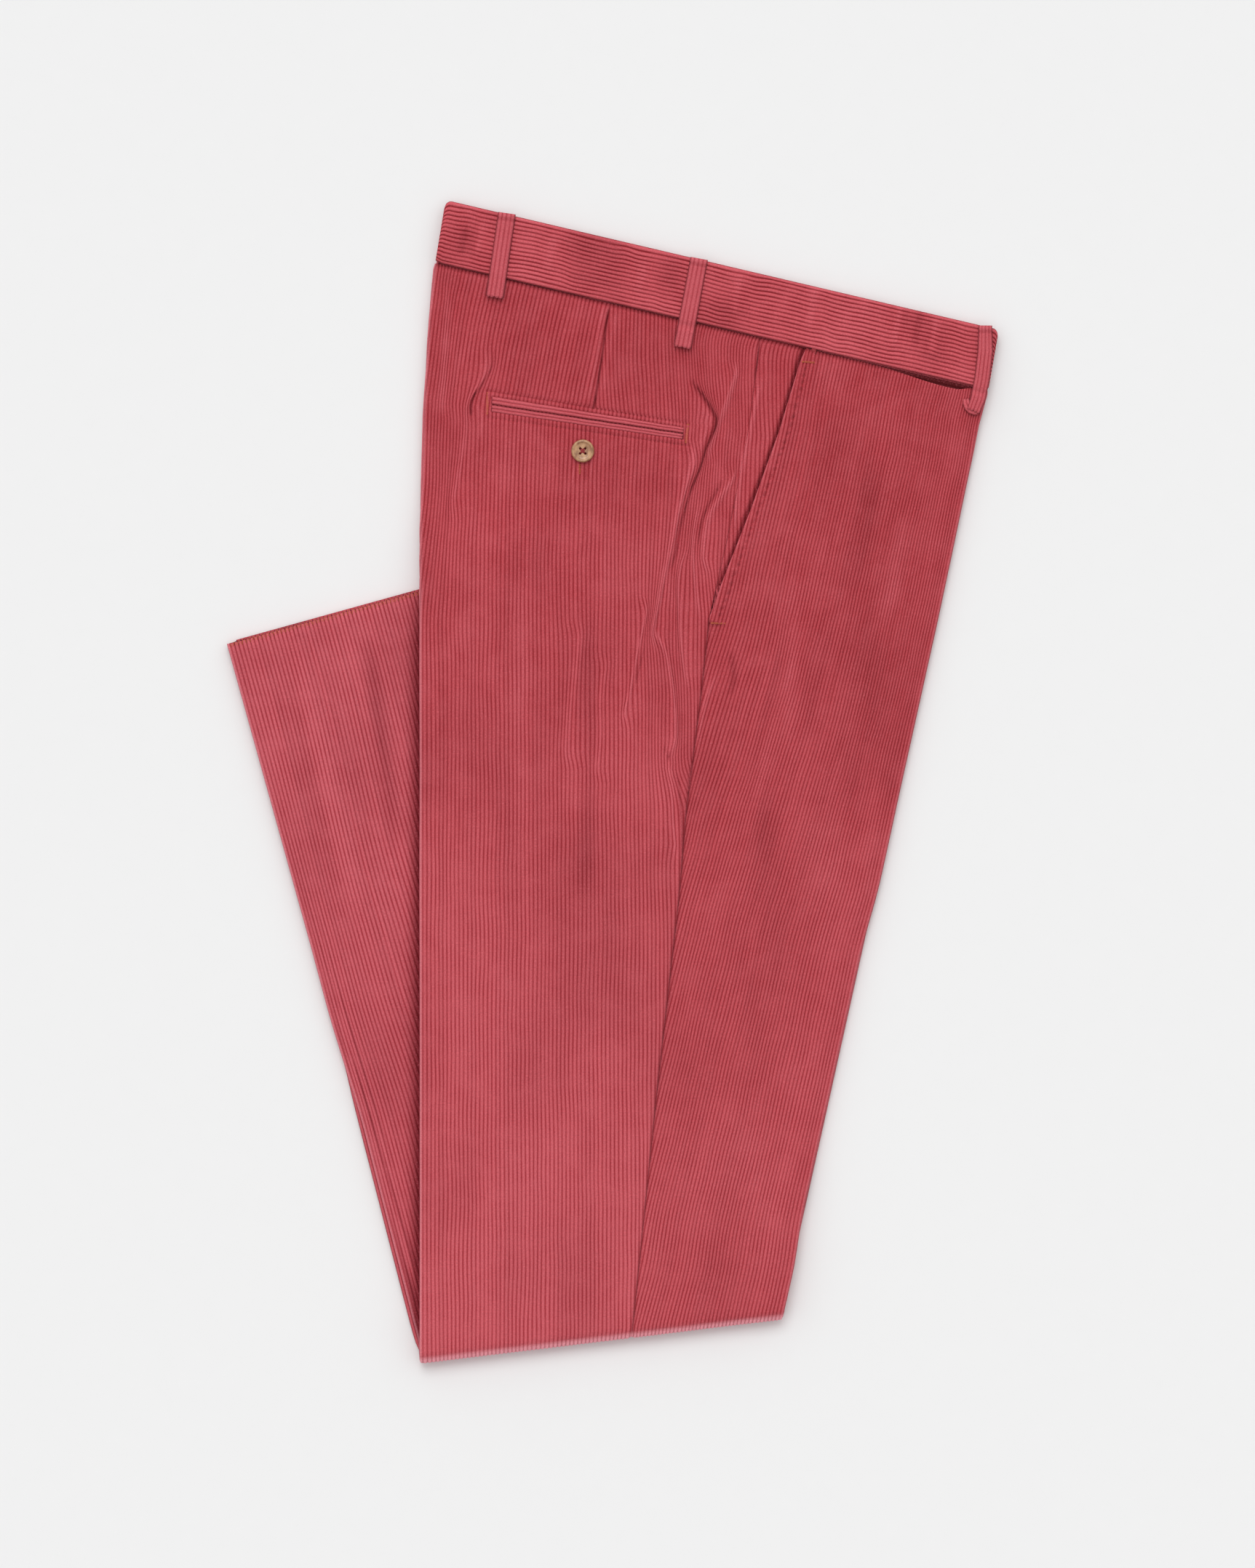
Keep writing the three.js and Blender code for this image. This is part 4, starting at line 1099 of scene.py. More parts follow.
@dataclass
class LowerLeg:
    """The left back panel of the lower leg, seen at the left of the upper legs."""

    name: str = "lower_leg_cloth"
    node: str = "left_back_panel_lower"
    pitch: float = 2.7
    table: tuple[Point, ...] = ((96.2, 135.5), (40, 78), (-30, 2), (-120, -94), (-220, -200), (-310, -300),
                                (-385, -383), (-397, -397))
    tuck: float = -121.0
    step: float = 7.0
    fan: float = 0.42
    folds: tuple[Fold, ...] = (
        Fold(((-190, -148), (-178, -200), (-168, -240), (-150, -315)), 0.5, 3.5, 3.5, taper=40.0),
        Fold(((-215, 100), (-200, 20), (-172, -90)), 0.3, 12.0, 12.0, taper=40.0),
        Fold(((-170, 110), (-158, 20), (-148, -60)), -0.25, 12.0, 12.0, taper=40.0),
    )

    def build(self, material: bpy.types.Material) -> bpy.types.Object:
        """Builds the strip as a closed wall.

        Args:
            material: its finish.

        Returns:
            The piece.
        """
        mesh = ClothMesh()
        rough = Unevenness(21, 30.0, 70.0)
        outer, inner, keys, inside_keys, grain, inside_grain = [], [], [], [], [], []
        for spots in self.rows():
            x, y, arc, key = (np.array(v, float) for v in (spots.x, spots.y, spots.arc, spots.key))
            kept = np.array(spots.kept)
            soft = 0.12 * rough.at(x, y) * (arc == 0)
            for fold in self.folds:
                soft += fold.effect(x, y)[0] * (arc == 0)
            # hidden and shade paint the shadow that the upper legs cast on the lower leg beside their edge.
            hidden = smooth((x + 139.0) / 7.0)
            shade = 0.85 * smooth((x + 145.0) / 13.0) * smooth((-y + 150.0) / 60.0) + 0.35 * hidden
            beside = x - np.array([STACK.lower_edge.x_at(v) for v in y])
            crimp = 0.28 * np.sin(beside * 2.1 + 0.004 * y * beside) * np.exp(-(((beside - 9.0) / 7.0) ** 2))
            crimp = crimp * smooth((-y - 20.0) / 150.0) * (arc == 0)
            soft = np.clip(soft + crimp, -0.6, 0.9) * (1 - hidden)
            pile = Wale.height(key, self.pitch)
            pile[[0, -1]] = 0.3
            outer.append(self.place(x, y, arc, soft + STACK.relief * pile))
            inner.append(self.place(x, y, arc, np.maximum(soft, 0) - STACK.cloth)[kept])
            keys.append(key)
            inside_keys.append(key[kept])
            # edge weighs the painted sheen on the rolled edge. The last column is painted fold shade and highlight,
            # less that painted shadow.
            edge = np.sin(np.clip(arc / STACK.edge_radius, 0.0, math.pi)) * 0.4
            marks = np.stack([key + 700.0, -y, Wale.cover(key, self.pitch), edge, 1.4 * soft - shade], axis=1)
            grain.append(marks)
            inside_grain.append(marks[kept])
        mesh.close(mesh.rows(outer, keys, grain), mesh.rows(inner, inside_keys, inside_grain))
        return mesh.make(self.name, material)

    def place(self, x: Array, y: Array, arc: Array, lift: Array) -> Array:
        """Places points on the flat strip or round its back edge.

        Args:
            x: plan places in x.
            y: plan places in y.
            arc: distance round the edge roll.
            lift: height over the smooth cloth.

        Returns:
            An (n, 3) array in mm.
        """
        out, depth = rolled_edge(arc, lift)
        return np.stack([x - out, y, STACK.lower_top - depth], axis=1)

    @staticmethod
    def inset(y: float) -> float:
        """Gives how far the layer below shows beside the leg's edge."""
        return 3.0 * float(smooth((-150.0 - y) / 90.0) * smooth((y + 398.0) / 16.0))

    def under_layer(self, material: bpy.types.Material) -> bpy.types.Object:
        """Builds the strip of the layer below, where it peeks out beside the edge.

        Args:
            material: its finish.

        Returns:
            The piece.
        """
        stations = []
        count = 46
        for i in range(count + 1):
            y = -150.0 - 246.0 * i / count
            left = STACK.lower_edge.x_at(y)
            stations.append(((left + 5.0, y), (left + 2.0 - self.inset(y) * 0.7, y), 0.6))
        return Strip("lower_leg_under_layer", stations, 2, 3.6, 0.5, 1.6).build(material)

    def rows(self) -> list[Spots]:
        """Lists the rows from the hem to the knee.

        Returns:
            The rows of spots.
        """
        r = STACK.edge_radius
        arc_end = math.pi * r + 2.4
        out = []
        pairs = []
        for here, after in zip(self.table, self.table[1:]):
            count = max(1, math.ceil((here[0] - after[0]) / self.step))
            pairs += [between(here, after, k / count) for k in range(count)]
        pairs.append(self.table[-1])
        for edge_y, tuck_y in pairs:
            top = (STACK.lower_edge.x_at(edge_y) + r + self.inset(edge_y), edge_y)
            end = (self.tuck, tuck_y)
            width = math.hypot(end[0] - top[0], end[1] - top[1]) * 0.97
            spots = Spots(side=-1.0)
            spots.add(-arc_end, top, arc_end, kept=True)
            spots.fill(-arc_end, 0.0, self.pitch, lambda t: (top, arc_end * (1 - t), 0.0), True)
            fan = self.fan * float(smooth((60.0 - edge_y) / 160.0))
            spots.fill(0.0, width, self.pitch,
                       lambda t: (between(top, end, t - fan * (t - t * t) / 2), 0.0, 0.0))
            spots.add(width, end, kept=True)
            out.append(spots)
        return out


@dataclass
class Strip:
    """A flat strip of cloth with wales along it and rounded edges."""

    name: str
    stations: list[tuple[Point, Point, float]]
    wales: int
    thickness: float
    relief: float = 0.5
    rounding: float = 1.5
    soft: Callable[[Array, Array], Array] | None = None
    sway: Callable[[Array, Array], Array] | None = None
    scallop: float = 0.0
    grain_from: float = 0.0
    # rim_shade paints shade along the strip's rims.
    rim_shade: float = 0.0
    lies_on: str = "hidden_layers"

    def flat(self) -> tuple[float, float]:
        """Gives the strip's flat width and length in metres."""
        middles = [between(left, right, 0.5) for left, right, _ in self.stations]
        length = sum(math.dist(a, b) for a, b in zip(middles, middles[1:]))
        width = sum(math.dist(left, right) for left, right, _ in self.stations) / len(self.stations)
        return round(width * MM, 4), round(length * MM, 4)

    def build(self, material: bpy.types.Material) -> bpy.types.Object:
        """Builds the strip as a closed wall.

        Args:
            material: its finish.

        Returns:
            The piece.
        """
        mesh = ClothMesh()
        across = [(n + phase) / self.wales for n in range(self.wales) for phase in Wale.PHASES]
        share = np.array([*across, 1.0])
        pile = Wale.height(share, 1.0 / self.wales)
        outer, inner, grain, inside_grain = [], [], [], []
        run = 0.0
        before: Point | None = None
        for i, (left, right, low) in enumerate(self.stations):
            width = math.hypot(right[0] - left[0], right[1] - left[1])
            middle = between(left, right, 0.5)
            run += 0.0 if before is None else math.hypot(middle[0] - before[0], middle[1] - before[1])
            rim = np.minimum(share, 1 - share) * width
            curve = np.sqrt(np.clip(1 - (1 - np.clip(rim / self.rounding, 0, 1)) ** 2, 0, 1))
            x = left[0] + (right[0] - left[0]) * share
            y = left[1] + (right[1] - left[1]) * share
            if self.sway:
                aside = self.sway(x, y) * smooth(rim / 5.0) / width
                x, y = x + (right[0] - left[0]) * aside, y + (right[1] - left[1]) * aside
            if self.scallop and i == len(self.stations) - 1 and before is not None:
                dx, dy = middle[0] - before[0], middle[1] - before[1]
                size = math.hypot(dx, dy) or 1.0
                x = x + dx / size * self.scallop * (pile - 0.3)
                y = y + dy / size * self.scallop * (pile - 0.3)
            extra = self.soft(x, y) if self.soft else np.zeros(len(share))
            cords = self.relief * pile * (0.35 + 0.65 * curve)
            z = low + self.thickness * (0.42 + 0.58 * curve) + cords + extra
            outer.append(np.stack([x, y, z], axis=1))
            # The soft height feeds painted shade and highlight, and rim_shade adds painted shade at the rims.
            extra = extra - self.rim_shade * np.exp(-((rim / 0.8) ** 2))
            flat = np.full(len(share), run)
            cover = Wale.cover(share, 1.0 / self.wales)
            grain.append(np.stack([share * width + self.grain_from, flat, cover, np.zeros(len(share)), extra],
                                  axis=1))
            sides = np.array([min(1.0 / width, 0.2), 0.5, 1 - min(1.0 / width, 0.2)])
            inner.append(np.stack([left[0] + (right[0] - left[0]) * sides,
                                   left[1] + (right[1] - left[1]) * sides, np.full(3, low)], axis=1))
            plain = np.zeros(3)
            inside_grain.append(np.stack([sides * width, plain + run, plain + 0.5, plain, plain], axis=1))
            before = middle
        keys = [share] * len(outer)
        inside_keys = [np.array([0.0, 0.5, 1.0])] * len(inner)
        mesh.close(mesh.rows(outer, keys, grain), mesh.rows(inner, inside_keys, inside_grain))
        piece = mesh.make(self.name, material)
        if min(self.flat()) >= LEAST_SHEET:
            self.flat()
        return piece


BAND_ROUGH = Unevenness(31, 20.0, 26.0)
BAND_SWAY = Unevenness(32, 34.0, 60.0)
BAND_WAVER = Unevenness(33, 9.0, 24.0)


@dataclass
class Waistband:
    """The waistband, lying flat over both fronts."""

    name: str = "waistband_cloth"
    node: str = "waistband"
    back_end: float = -118.6
    front_end: float = 261.8
    lean: float = 3.6
    thickness: float = 3.0
    low: float = 6.0
    relief: float = 0.75
    ripples: tuple[Fold, ...] = (
        Fold(((199, 333), (196, 316), (193, 300)), 0.55, 4.5, 3.0, taper=8.0),
        Fold(((212, 330), (209, 312), (207, 298)), -0.4, 4.0, 4.0, taper=8.0),
        Fold(((222, 325), (221, 310), (218, 294)), 0.45, 3.0, 5.0, taper=8.0),
        Fold(((176, 336), (173, 320), (171, 306)), 0.4, 4.0, 4.0, taper=8.0),
        Fold(((140, 346), (137, 330), (135, 314)), 0.3, 5.0, 4.0, taper=8.0),
        Fold(((88, 352), (85, 336), (82, 322)), 0.3, 4.0, 5.0, taper=8.0),
        Fold(((22, 362), (20, 348), (16, 336)), 0.3, 6.0, 4.0, taper=8.0),
        Fold(((-40, 380), (-43, 362), (-46, 350)), 0.3, 6.0, 5.0, taper=8.0),
        Fold(((-88, 388), (-91, 374), (-94, 362)), 0.45, 4.0, 3.5, taper=8.0),
        Fold(((-100, 386), (-103, 374), (-105, 362)), -0.35, 4.0, 4.0, taper=8.0),
    )

    def ends(self) -> list[tuple[float, float, float]]:
        """Lists the stations along the band: x, and how far its top and bottom draw in."""
        first, last = self.back_end, self.front_end
        corner = 4.5
        out = []
        for i in range(8):
            share = i / 8
            drawn = 0.12 * (1 - math.sqrt(1 - (1 - share) ** 2))
            out.append((first + corner * share, drawn, 0.03 * (1 - share)))
        count = 150
        out += [(first + corner + (last - first - corner - 3) * i / count, 0.0, 0.0) for i in range(count + 1)]
        return out + [(last - 1.6, 0.02, 0.0), (last - 0.7, 0.05, 0.01), (last, 0.1, 0.03)]

    def soft(self, x: Array, y: Array) -> Array:
        """Height of the band's ripples.

        Args:
            x: places in x.
            y: places in y.

        Returns:
            The extra height.
        """
        rise = 0.3 * BAND_ROUGH.at(x, y)
        for fold in self.ripples:
            rise = rise + fold.effect(x, y)[0]
        return rise

    def build(self, material: bpy.types.Material) -> bpy.types.Object:
        """Builds the band.

        Args:
            material: its finish.

        Returns:
            The piece.
        """
        stations = []
        for x, above, below in self.ends():
            low_x, high_x = x - self.lean, x + self.lean
            bottom = (low_x, STACK.waist_seam.y_at(low_x) + STACK.seam_gap / 2)
            top = (high_x, STACK.waist_top.y_at(high_x))
            stations.append((between(bottom, top, below), between(top, bottom, above), self.low))
        return Strip(self.name, stations, 15, self.thickness, self.relief, 2.0, self.soft,
                     self.sway).build(material)

    def sway(self, x: Array, y: Array) -> Array:
        """Bends the band's wales a little up and down.

        Args:
            x: places in x.
            y: places in y.

        Returns:
            The shift across the band.
        """
        return 1.1 * BAND_SWAY.at(x, y) + 0.6 * BAND_WAVER.at(x, y)


class LoopPlace(Enum):
    """The belt loops that show, each with its centre line and widths."""

    BACK = ("belt_loop_back", ((-72.8, 392.2, 12.2), (-76.4, 368, 12.2), (-79, 350, 12.2), (-81.3, 334.8, 12.2)))
    SIDE = ("belt_loop_side", ((59.3, 361.1, 12.2), (54.6, 336, 12.2), (50.8, 316, 12.2), (47.8, 300.3, 12.2)))
    FRONT = ("belt_loop_front", ((256.0, 315, 9.4), (255.9, 297, 10.6), (253.8, 279, 10.6), (251, 265, 10.4),
                                 (247.8, 256.5, 9.6)))


@dataclass
class BeltLoop:
    """A belt loop, tacked at its top and folded double at its lower end."""

    place: LoopPlace
    wall: float = 2.1
    wales: int = 4
    relief: float = 0.4
    rounding: float = 2.2
    fold_from: float = 0.82

    @property
    def node(self) -> str:
        """Name of the CAD node."""
        return self.place.value[0]

    @property
    def panel(self) -> str:
        """Name of the leg panel under the loop's lower end."""
        return "right_front_panel" if self.place is LoopPlace.FRONT else "right_back_panel"

    def seat(self, x: float, y: float) -> float:
        """Height under the loop, over the band and down on the panel.

        Args:
            x: place in x.
            y: place in y.

        Returns:
            The height.
        """
        top = float(STACK.top_at(np.array(x), np.array(y)))
        step = float(smooth((y - STACK.waist_seam.y_at(x) + 4) / 4))
        return top + STACK.relief + 1.0 * step + STACK.seam_gap

    def stations(self, first: float, last: float, raise_by: float,
                 step: float = 1.2) -> list[tuple[Point, Point, float]]:
        """Lists the cross stations of a stretch of the loop.

        Args:
            first: where the stretch starts, as a share of the loop.
            last: where it ends.
            raise_by: how far the loop rises over its folded end.
            step: distance between stations.

        Returns:
            Left point, right point and height of each station.
        """
        line = self.place.value[1]
        lengths = [math.hypot(b[0] - a[0], b[1] - a[1]) for a, b in zip(line, line[1:])]
        ends = np.concatenate([[0.0], np.cumsum(lengths)])
        count = max(3, round(ends[-1] * (last - first) / step))
        runs = ends[-1] * np.linspace(first, last, count + 1)
        x, y, w = (np.interp(runs, ends, [p[i] for p in line]) for i in range(3))
        dx, dy = np.gradient(x), np.gradient(y)
        size = np.hypot(dx, dy)
        over_fold = smooth((runs / ends[-1] - self.fold_from + 0.05) / 0.06)
        lows = np.array([self.seat(a, b) for a, b in zip(x, y)]) + raise_by * over_fold
        out = []
        for i in range(count + 1):
            ax, ay = dy[i] / size[i] * w[i] / 2, -dx[i] / size[i] * w[i] / 2
            out.append(((x[i] + ax, y[i] + ay), (x[i] - ax, y[i] - ay), float(lows[i])))
        return out

    def tack_dip(self, x: Array, y: Array) -> Array:
        """Dents the loop along its top tack.

        Args:
            x: places in x.
            y: places in y.

        Returns:
            The extra height.
        """
        line = self.place.value[1]
        (x0, y0, _), (x1, y1, _) = line[0], line[1]
        length = math.hypot(x1 - x0, y1 - y0)
        run = ((x - x0) * (x1 - x0) + (y - y0) * (y1 - y0)) / length
        return -0.5 * np.exp(-(((run - 4.2) / 0.9) ** 2)) + 0.25 * np.exp(-(((run - 1.8) / 1.6) ** 2))

    def build(self, material: bpy.types.Material) -> list[bpy.types.Object]:
        """Builds the loop and its folded end.

        Args:
            material: its finish.

        Returns:
            The pieces.
        """
        shift = 40.0 * (1 + list(LoopPlace).index(self.place))
        body = Strip(self.node + "_cloth", self.stations(0.0, 1.0, self.wall * 0.55), self.wales, self.wall,
                     self.relief, self.rounding, self.tack_dip, scallop=1.0, grain_from=shift,
                     rim_shade=0.8, lies_on="waistband")
        end = Strip(self.node + "_fold", self.stations(self.fold_from, 0.985, 0.0), self.wales, self.wall * 0.5, 0.2,
                    self.rounding, grain_from=shift, lies_on=self.panel)
        pieces = [body.build(material), end.build(material)]
        if self.place is LoopPlace.FRONT:
            pieces.append(self.tail(material))
        return pieces

    def tail(self, material: bpy.types.Material) -> bpy.types.Object:
        """Builds the free end that turns out beside the front loop.

        Args:
            material: its finish.

        Returns:
            The piece.
        """
        line = ((250.5, 256.6, 6.0), (248.4, 256.6, 6.4), (246.2, 257.4, 6.4), (244.2, 259.2, 6.0), (243.0, 262.0, 5.2),
                (242.8, 264.2, 4.2))
        stations = []
        for i, (x, y, w) in enumerate(line):
            before, after = line[max(i - 1, 0)], line[min(i + 1, len(line) - 1)]
            dx, dy = after[0] - before[0], after[1] - before[1]
            size = math.hypot(dx, dy)
            ax, ay = dy / size * w / 2, -dx / size * w / 2
            stations.append(((x + ax, y + ay), (x - ax, y - ay), self.seat(x, y) + 0.9))
        return Strip("belt_loop_front_tail", stations, 2, 1.4, 0.4, 1.2, scallop=0.6,
                     grain_from=200.0, lies_on="right_front_panel").build(material)


@dataclass
class PocketWelt:
    """One welt of the back pocket: a soft roll with wales along it."""

    name: str
    node: str
    upper: tuple[Point, Point]
    lower: tuple[Point, Point]
    crown: float = 0.75

    def build(self, material: bpy.types.Material) -> bpy.types.Object:
        """Builds the welt.

        Args:
            material: its finish.

        Returns:
            The piece.
        """
        stations = []
        count = 60
        for i in range(count + 1):
            t = 0.0025 + 0.995 * i / count
            high, low = between(*self.upper, t), between(*self.lower, t)
            width = math.hypot(high[0] - low[0], high[1] - low[1])
            clear = 0.25 / width
            wave = 0.18 * math.sin(i * 0.8) + 0.12 * math.sin(i * 0.31 + 1.0)
            x, y = between(high, low, 0.5)
            seat = float(STACK.top_at(np.array(x), np.array(y))) - STACK.cloth
            left, right = between(high, low, clear), between(high, low, 1 - clear)
            stations.append(((left[0], left[1] + wave * 0.3), (right[0], right[1] + wave * 0.3), seat))
        return Strip(self.name, stations, 2, STACK.cloth + self.crown - 0.35, 0.75, 1.6,
                     grain_from=300.0 if "upper" in self.name else 320.0).build(material)


@dataclass
class StitchRun:
    """A line of stitches, each a small rounded bar of thread."""

    name: str
    line: tuple[Point, ...]
    pitch: float = 2.6
    length: float = 1.7
    thread: float = 0.34
    height: float = 0.25
    cross: float = 0.0
    seed: int = 1
    level: Callable[[float, float], float] | None = None

    def surface(self, x: float, y: float) -> float:
        """Height of the cloth under a stitch.

        Args:
            x: place in x.
            y: place in y.

        Returns:
            The height.
        """
        if self.level:
            return self.level(x, y)
        high, _ = RELIEF.lift(np.array([x]), np.array([y]))
        away = x - STACK.mouth.x_at(y)
        beside = FrontPanel.mouth_end - 2.0 < y < 292.0 and 0 < away < 12.0
        raised = Border.MOUTH.effect(np.array([away]))[0][0] if beside else 0.0
        return float(STACK.top_at(np.array(x), np.array(y)) + high[0] + raised)

    def build(self, material: bpy.types.Material) -> bpy.types.Object:
        """Builds all stitches of the run as one mesh.

        Args:
            material: the thread's finish.

        Returns:
            The piece.
        """
        random = np.random.default_rng(self.seed)
        points: list[tuple[float, float, float]] = []
        faces: list[tuple[int, ...]] = []
        lengths = [math.hypot(b[0] - a[0], b[1] - a[1]) for a, b in zip(self.line, self.line[1:])]
        ends = np.concatenate([[0.0], np.cumsum(lengths)])
        for k in range(int(ends[-1] / self.pitch) + 1):
            run = min(k * self.pitch + random.uniform(-0.12, 0.12), ends[-1])
            x, y = (float(np.interp(run, ends, [p[i] for p in self.line])) for i in range(2))
            i = min(int(np.searchsorted(ends, run, side="right")) - 1, len(lengths) - 1)
            dx = (self.line[i + 1][0] - self.line[i][0]) / lengths[i]
            dy = (self.line[i + 1][1] - self.line[i][1]) / lengths[i]
            turn = math.radians(self.cross * (1 if k % 2 else -1) + random.uniform(-6, 6))
            ux, uy = dx * math.cos(turn) - dy * math.sin(turn), dx * math.sin(turn) + dy * math.cos(turn)
            self.bar(points, faces, (x, y, self.surface(x, y) + self.height), (ux, uy))
        mesh = bpy.data.meshes.new(self.name)
        mesh.from_pydata((np.array(points) * MM).tolist(), [], faces)
        mesh.validate()
        mesh.shade_smooth()
        mesh.materials.append(material)
        piece = bpy.data.objects.new(self.name, mesh)
        bpy.context.scene.collection.objects.link(piece)
        return piece

    def bar(self, points: list[tuple[float, float, float]], faces: list[tuple[int, ...]],
            at: tuple[float, float, float], along: Point) -> None:
        """Adds one stitch.

        Args:
            points: the mesh's points, added to.
            faces: the mesh's faces, added to.
            at: the stitch's middle.
            along: its direction.
        """
        rings = ((-0.5, 0.12, -0.3), (-0.36, 0.4, 0.0), (0.0, 0.5, 0.12), (0.36, 0.4, 0.0), (0.5, 0.12, -0.3))
        first = len(points)
        ux, uy = along
        for share, wide, up in rings:
            for k in range(6):
                angle = math.tau * k / 6
                side = self.thread * wide * math.cos(angle)
                high = self.thread * (wide * math.sin(angle) + up)
                points.append((at[0] + ux * share * self.length - uy * side,
                               at[1] + uy * share * self.length + ux * side, at[2] + high))
        for ring in range(len(rings) - 1):
            for k in range(6):
                a, b = first + ring * 6 + k, first + ring * 6 + (k + 1) % 6
                faces.append((a, b, b + 6, a + 6))
        faces.append(tuple(first + k for k in reversed(range(6))))
        faces.append(tuple(first + 24 + k for k in range(6)))


@dataclass
class HornButton:
    """The four-hole back pocket button: turned rim, dished face, drilled holes."""

    centre: Point = (-20.8, 228.8)
    radius: float = 7.9
    thickness: float = 3.0
    hole: float = 0.85
    offset: float = 1.65
    segments: int = 96

    def seat(self) -> float:
        """Gives the height of the button's underside."""
        x, y = self.centre
        tops = [float(STACK.top_at(np.array(x), np.array(y + d))) for d in (-self.radius, self.radius)]
        return max(tops) + STACK.relief + STACK.seam_gap

    def build(self, material: bpy.types.Material) -> bpy.types.Object:
        """Turns the button and drills its holes.

        Args:
            material: the horn.

        Returns:
            The piece.
        """
        t, r = self.thickness, self.radius
        profile = [(0.01, 0.0), (r - 1.8, 0.0), (r - 0.7, t * 0.18), (r - 0.1, t * 0.45), (r, t * 0.62),
                   (r - 0.25, t * 0.84), (r - 0.75, t * 0.97), (r - 1.25, t), (r - 1.7, t * 0.95),
                   (r - 2.15, t * 0.84), (r - 2.6, t * 0.77), (r - 3.6, t * 0.74), (2.6, t * 0.7),
                   (1.4, t * 0.68), (0.01, t * 0.67)]
        n = self.segments
        points = [(radius * math.cos(math.tau * k / n), radius * math.sin(math.tau * k / n), z)
                  for radius, z in profile for k in range(n)]
        faces = []
        for i in range(len(profile) - 1):
            for k in range(n):
                a, b = i * n + k, i * n + (k + 1) % n
                faces.append((a, b, b + n, a + n))
        faces.append(tuple(reversed(range(n))))
        faces.append(tuple(range((len(profile) - 1) * n, len(profile) * n)))
        mesh = bpy.data.meshes.new("pocket_button_horn")
        x, y = self.centre
        low = self.seat()
        mesh.from_pydata([((x + p[0]) * MM, (y + p[1]) * MM, (low + p[2]) * MM) for p in points], [], faces)
        mesh.materials.append(material)
        piece = bpy.data.objects.new("pocket_button_horn", mesh)
        bpy.context.scene.collection.objects.link(piece)
        self.drill(piece)
        piece.data.shade_smooth()
        return piece

    def drill(self, piece: bpy.types.Object) -> None:
        """Cuts the four sewing holes.

        Args:
            piece: the button.
        """
        cutters = []
        for sx in (-1, 1):
            for sy in (-1, 1):
                bpy.ops.mesh.primitive_cylinder_add(
                    vertices=24, radius=self.hole * MM, depth=4 * self.thickness * MM,
                    location=((self.centre[0] + sx * self.offset) * MM, (self.centre[1] + sy * self.offset) * MM,
                              self.seat() * MM))
                cutters.append(bpy.context.object)
        for cutter in cutters:
            cut = piece.modifiers.new("hole", "BOOLEAN")
            cut.operation = "DIFFERENCE"
            cut.solver = "EXACT"
            cut.object = cutter
        graph = bpy.context.evaluated_depsgraph_get()
        drilled = bpy.data.meshes.new_from_object(piece.evaluated_get(graph))
        piece.modifiers.clear()
        piece.data = drilled
        for cutter in cutters:
            bpy.data.objects.remove(cutter)


class Number:
    """A shader number that takes part in Python sums."""

    def __init__(self, recipe: "Recipe", socket: bpy.types.NodeSocket) -> None:
        """Wraps a socket of a recipe."""
        self.recipe = recipe
        self.socket = socket

    def __add__(self, other: "Number | float") -> "Number":
        """Adds."""
        return self.recipe.maths("ADD", self, other)

    __radd__ = __add__

    def __sub__(self, other: "Number | float") -> "Number":
        """Takes away."""
        return self.recipe.maths("SUBTRACT", self, other)

    def __rsub__(self, other: "Number | float") -> "Number":
        """Is taken away from another."""
        return self.recipe.maths("SUBTRACT", other, self)

    def __mul__(self, other: "Number | float") -> "Number":
        """Multiplies."""
        return self.recipe.maths("MULTIPLY", self, other)

    __rmul__ = __mul__

    def __truediv__(self, other: "Number | float") -> "Number":
        """Divides."""
        return self.recipe.maths("DIVIDE", self, other)

    def __pow__(self, other: "Number | float") -> "Number":
        """Raises to a power."""
        return self.recipe.maths("POWER", self, other)


Feed = "Number | bpy.types.NodeSocket | float | tuple"


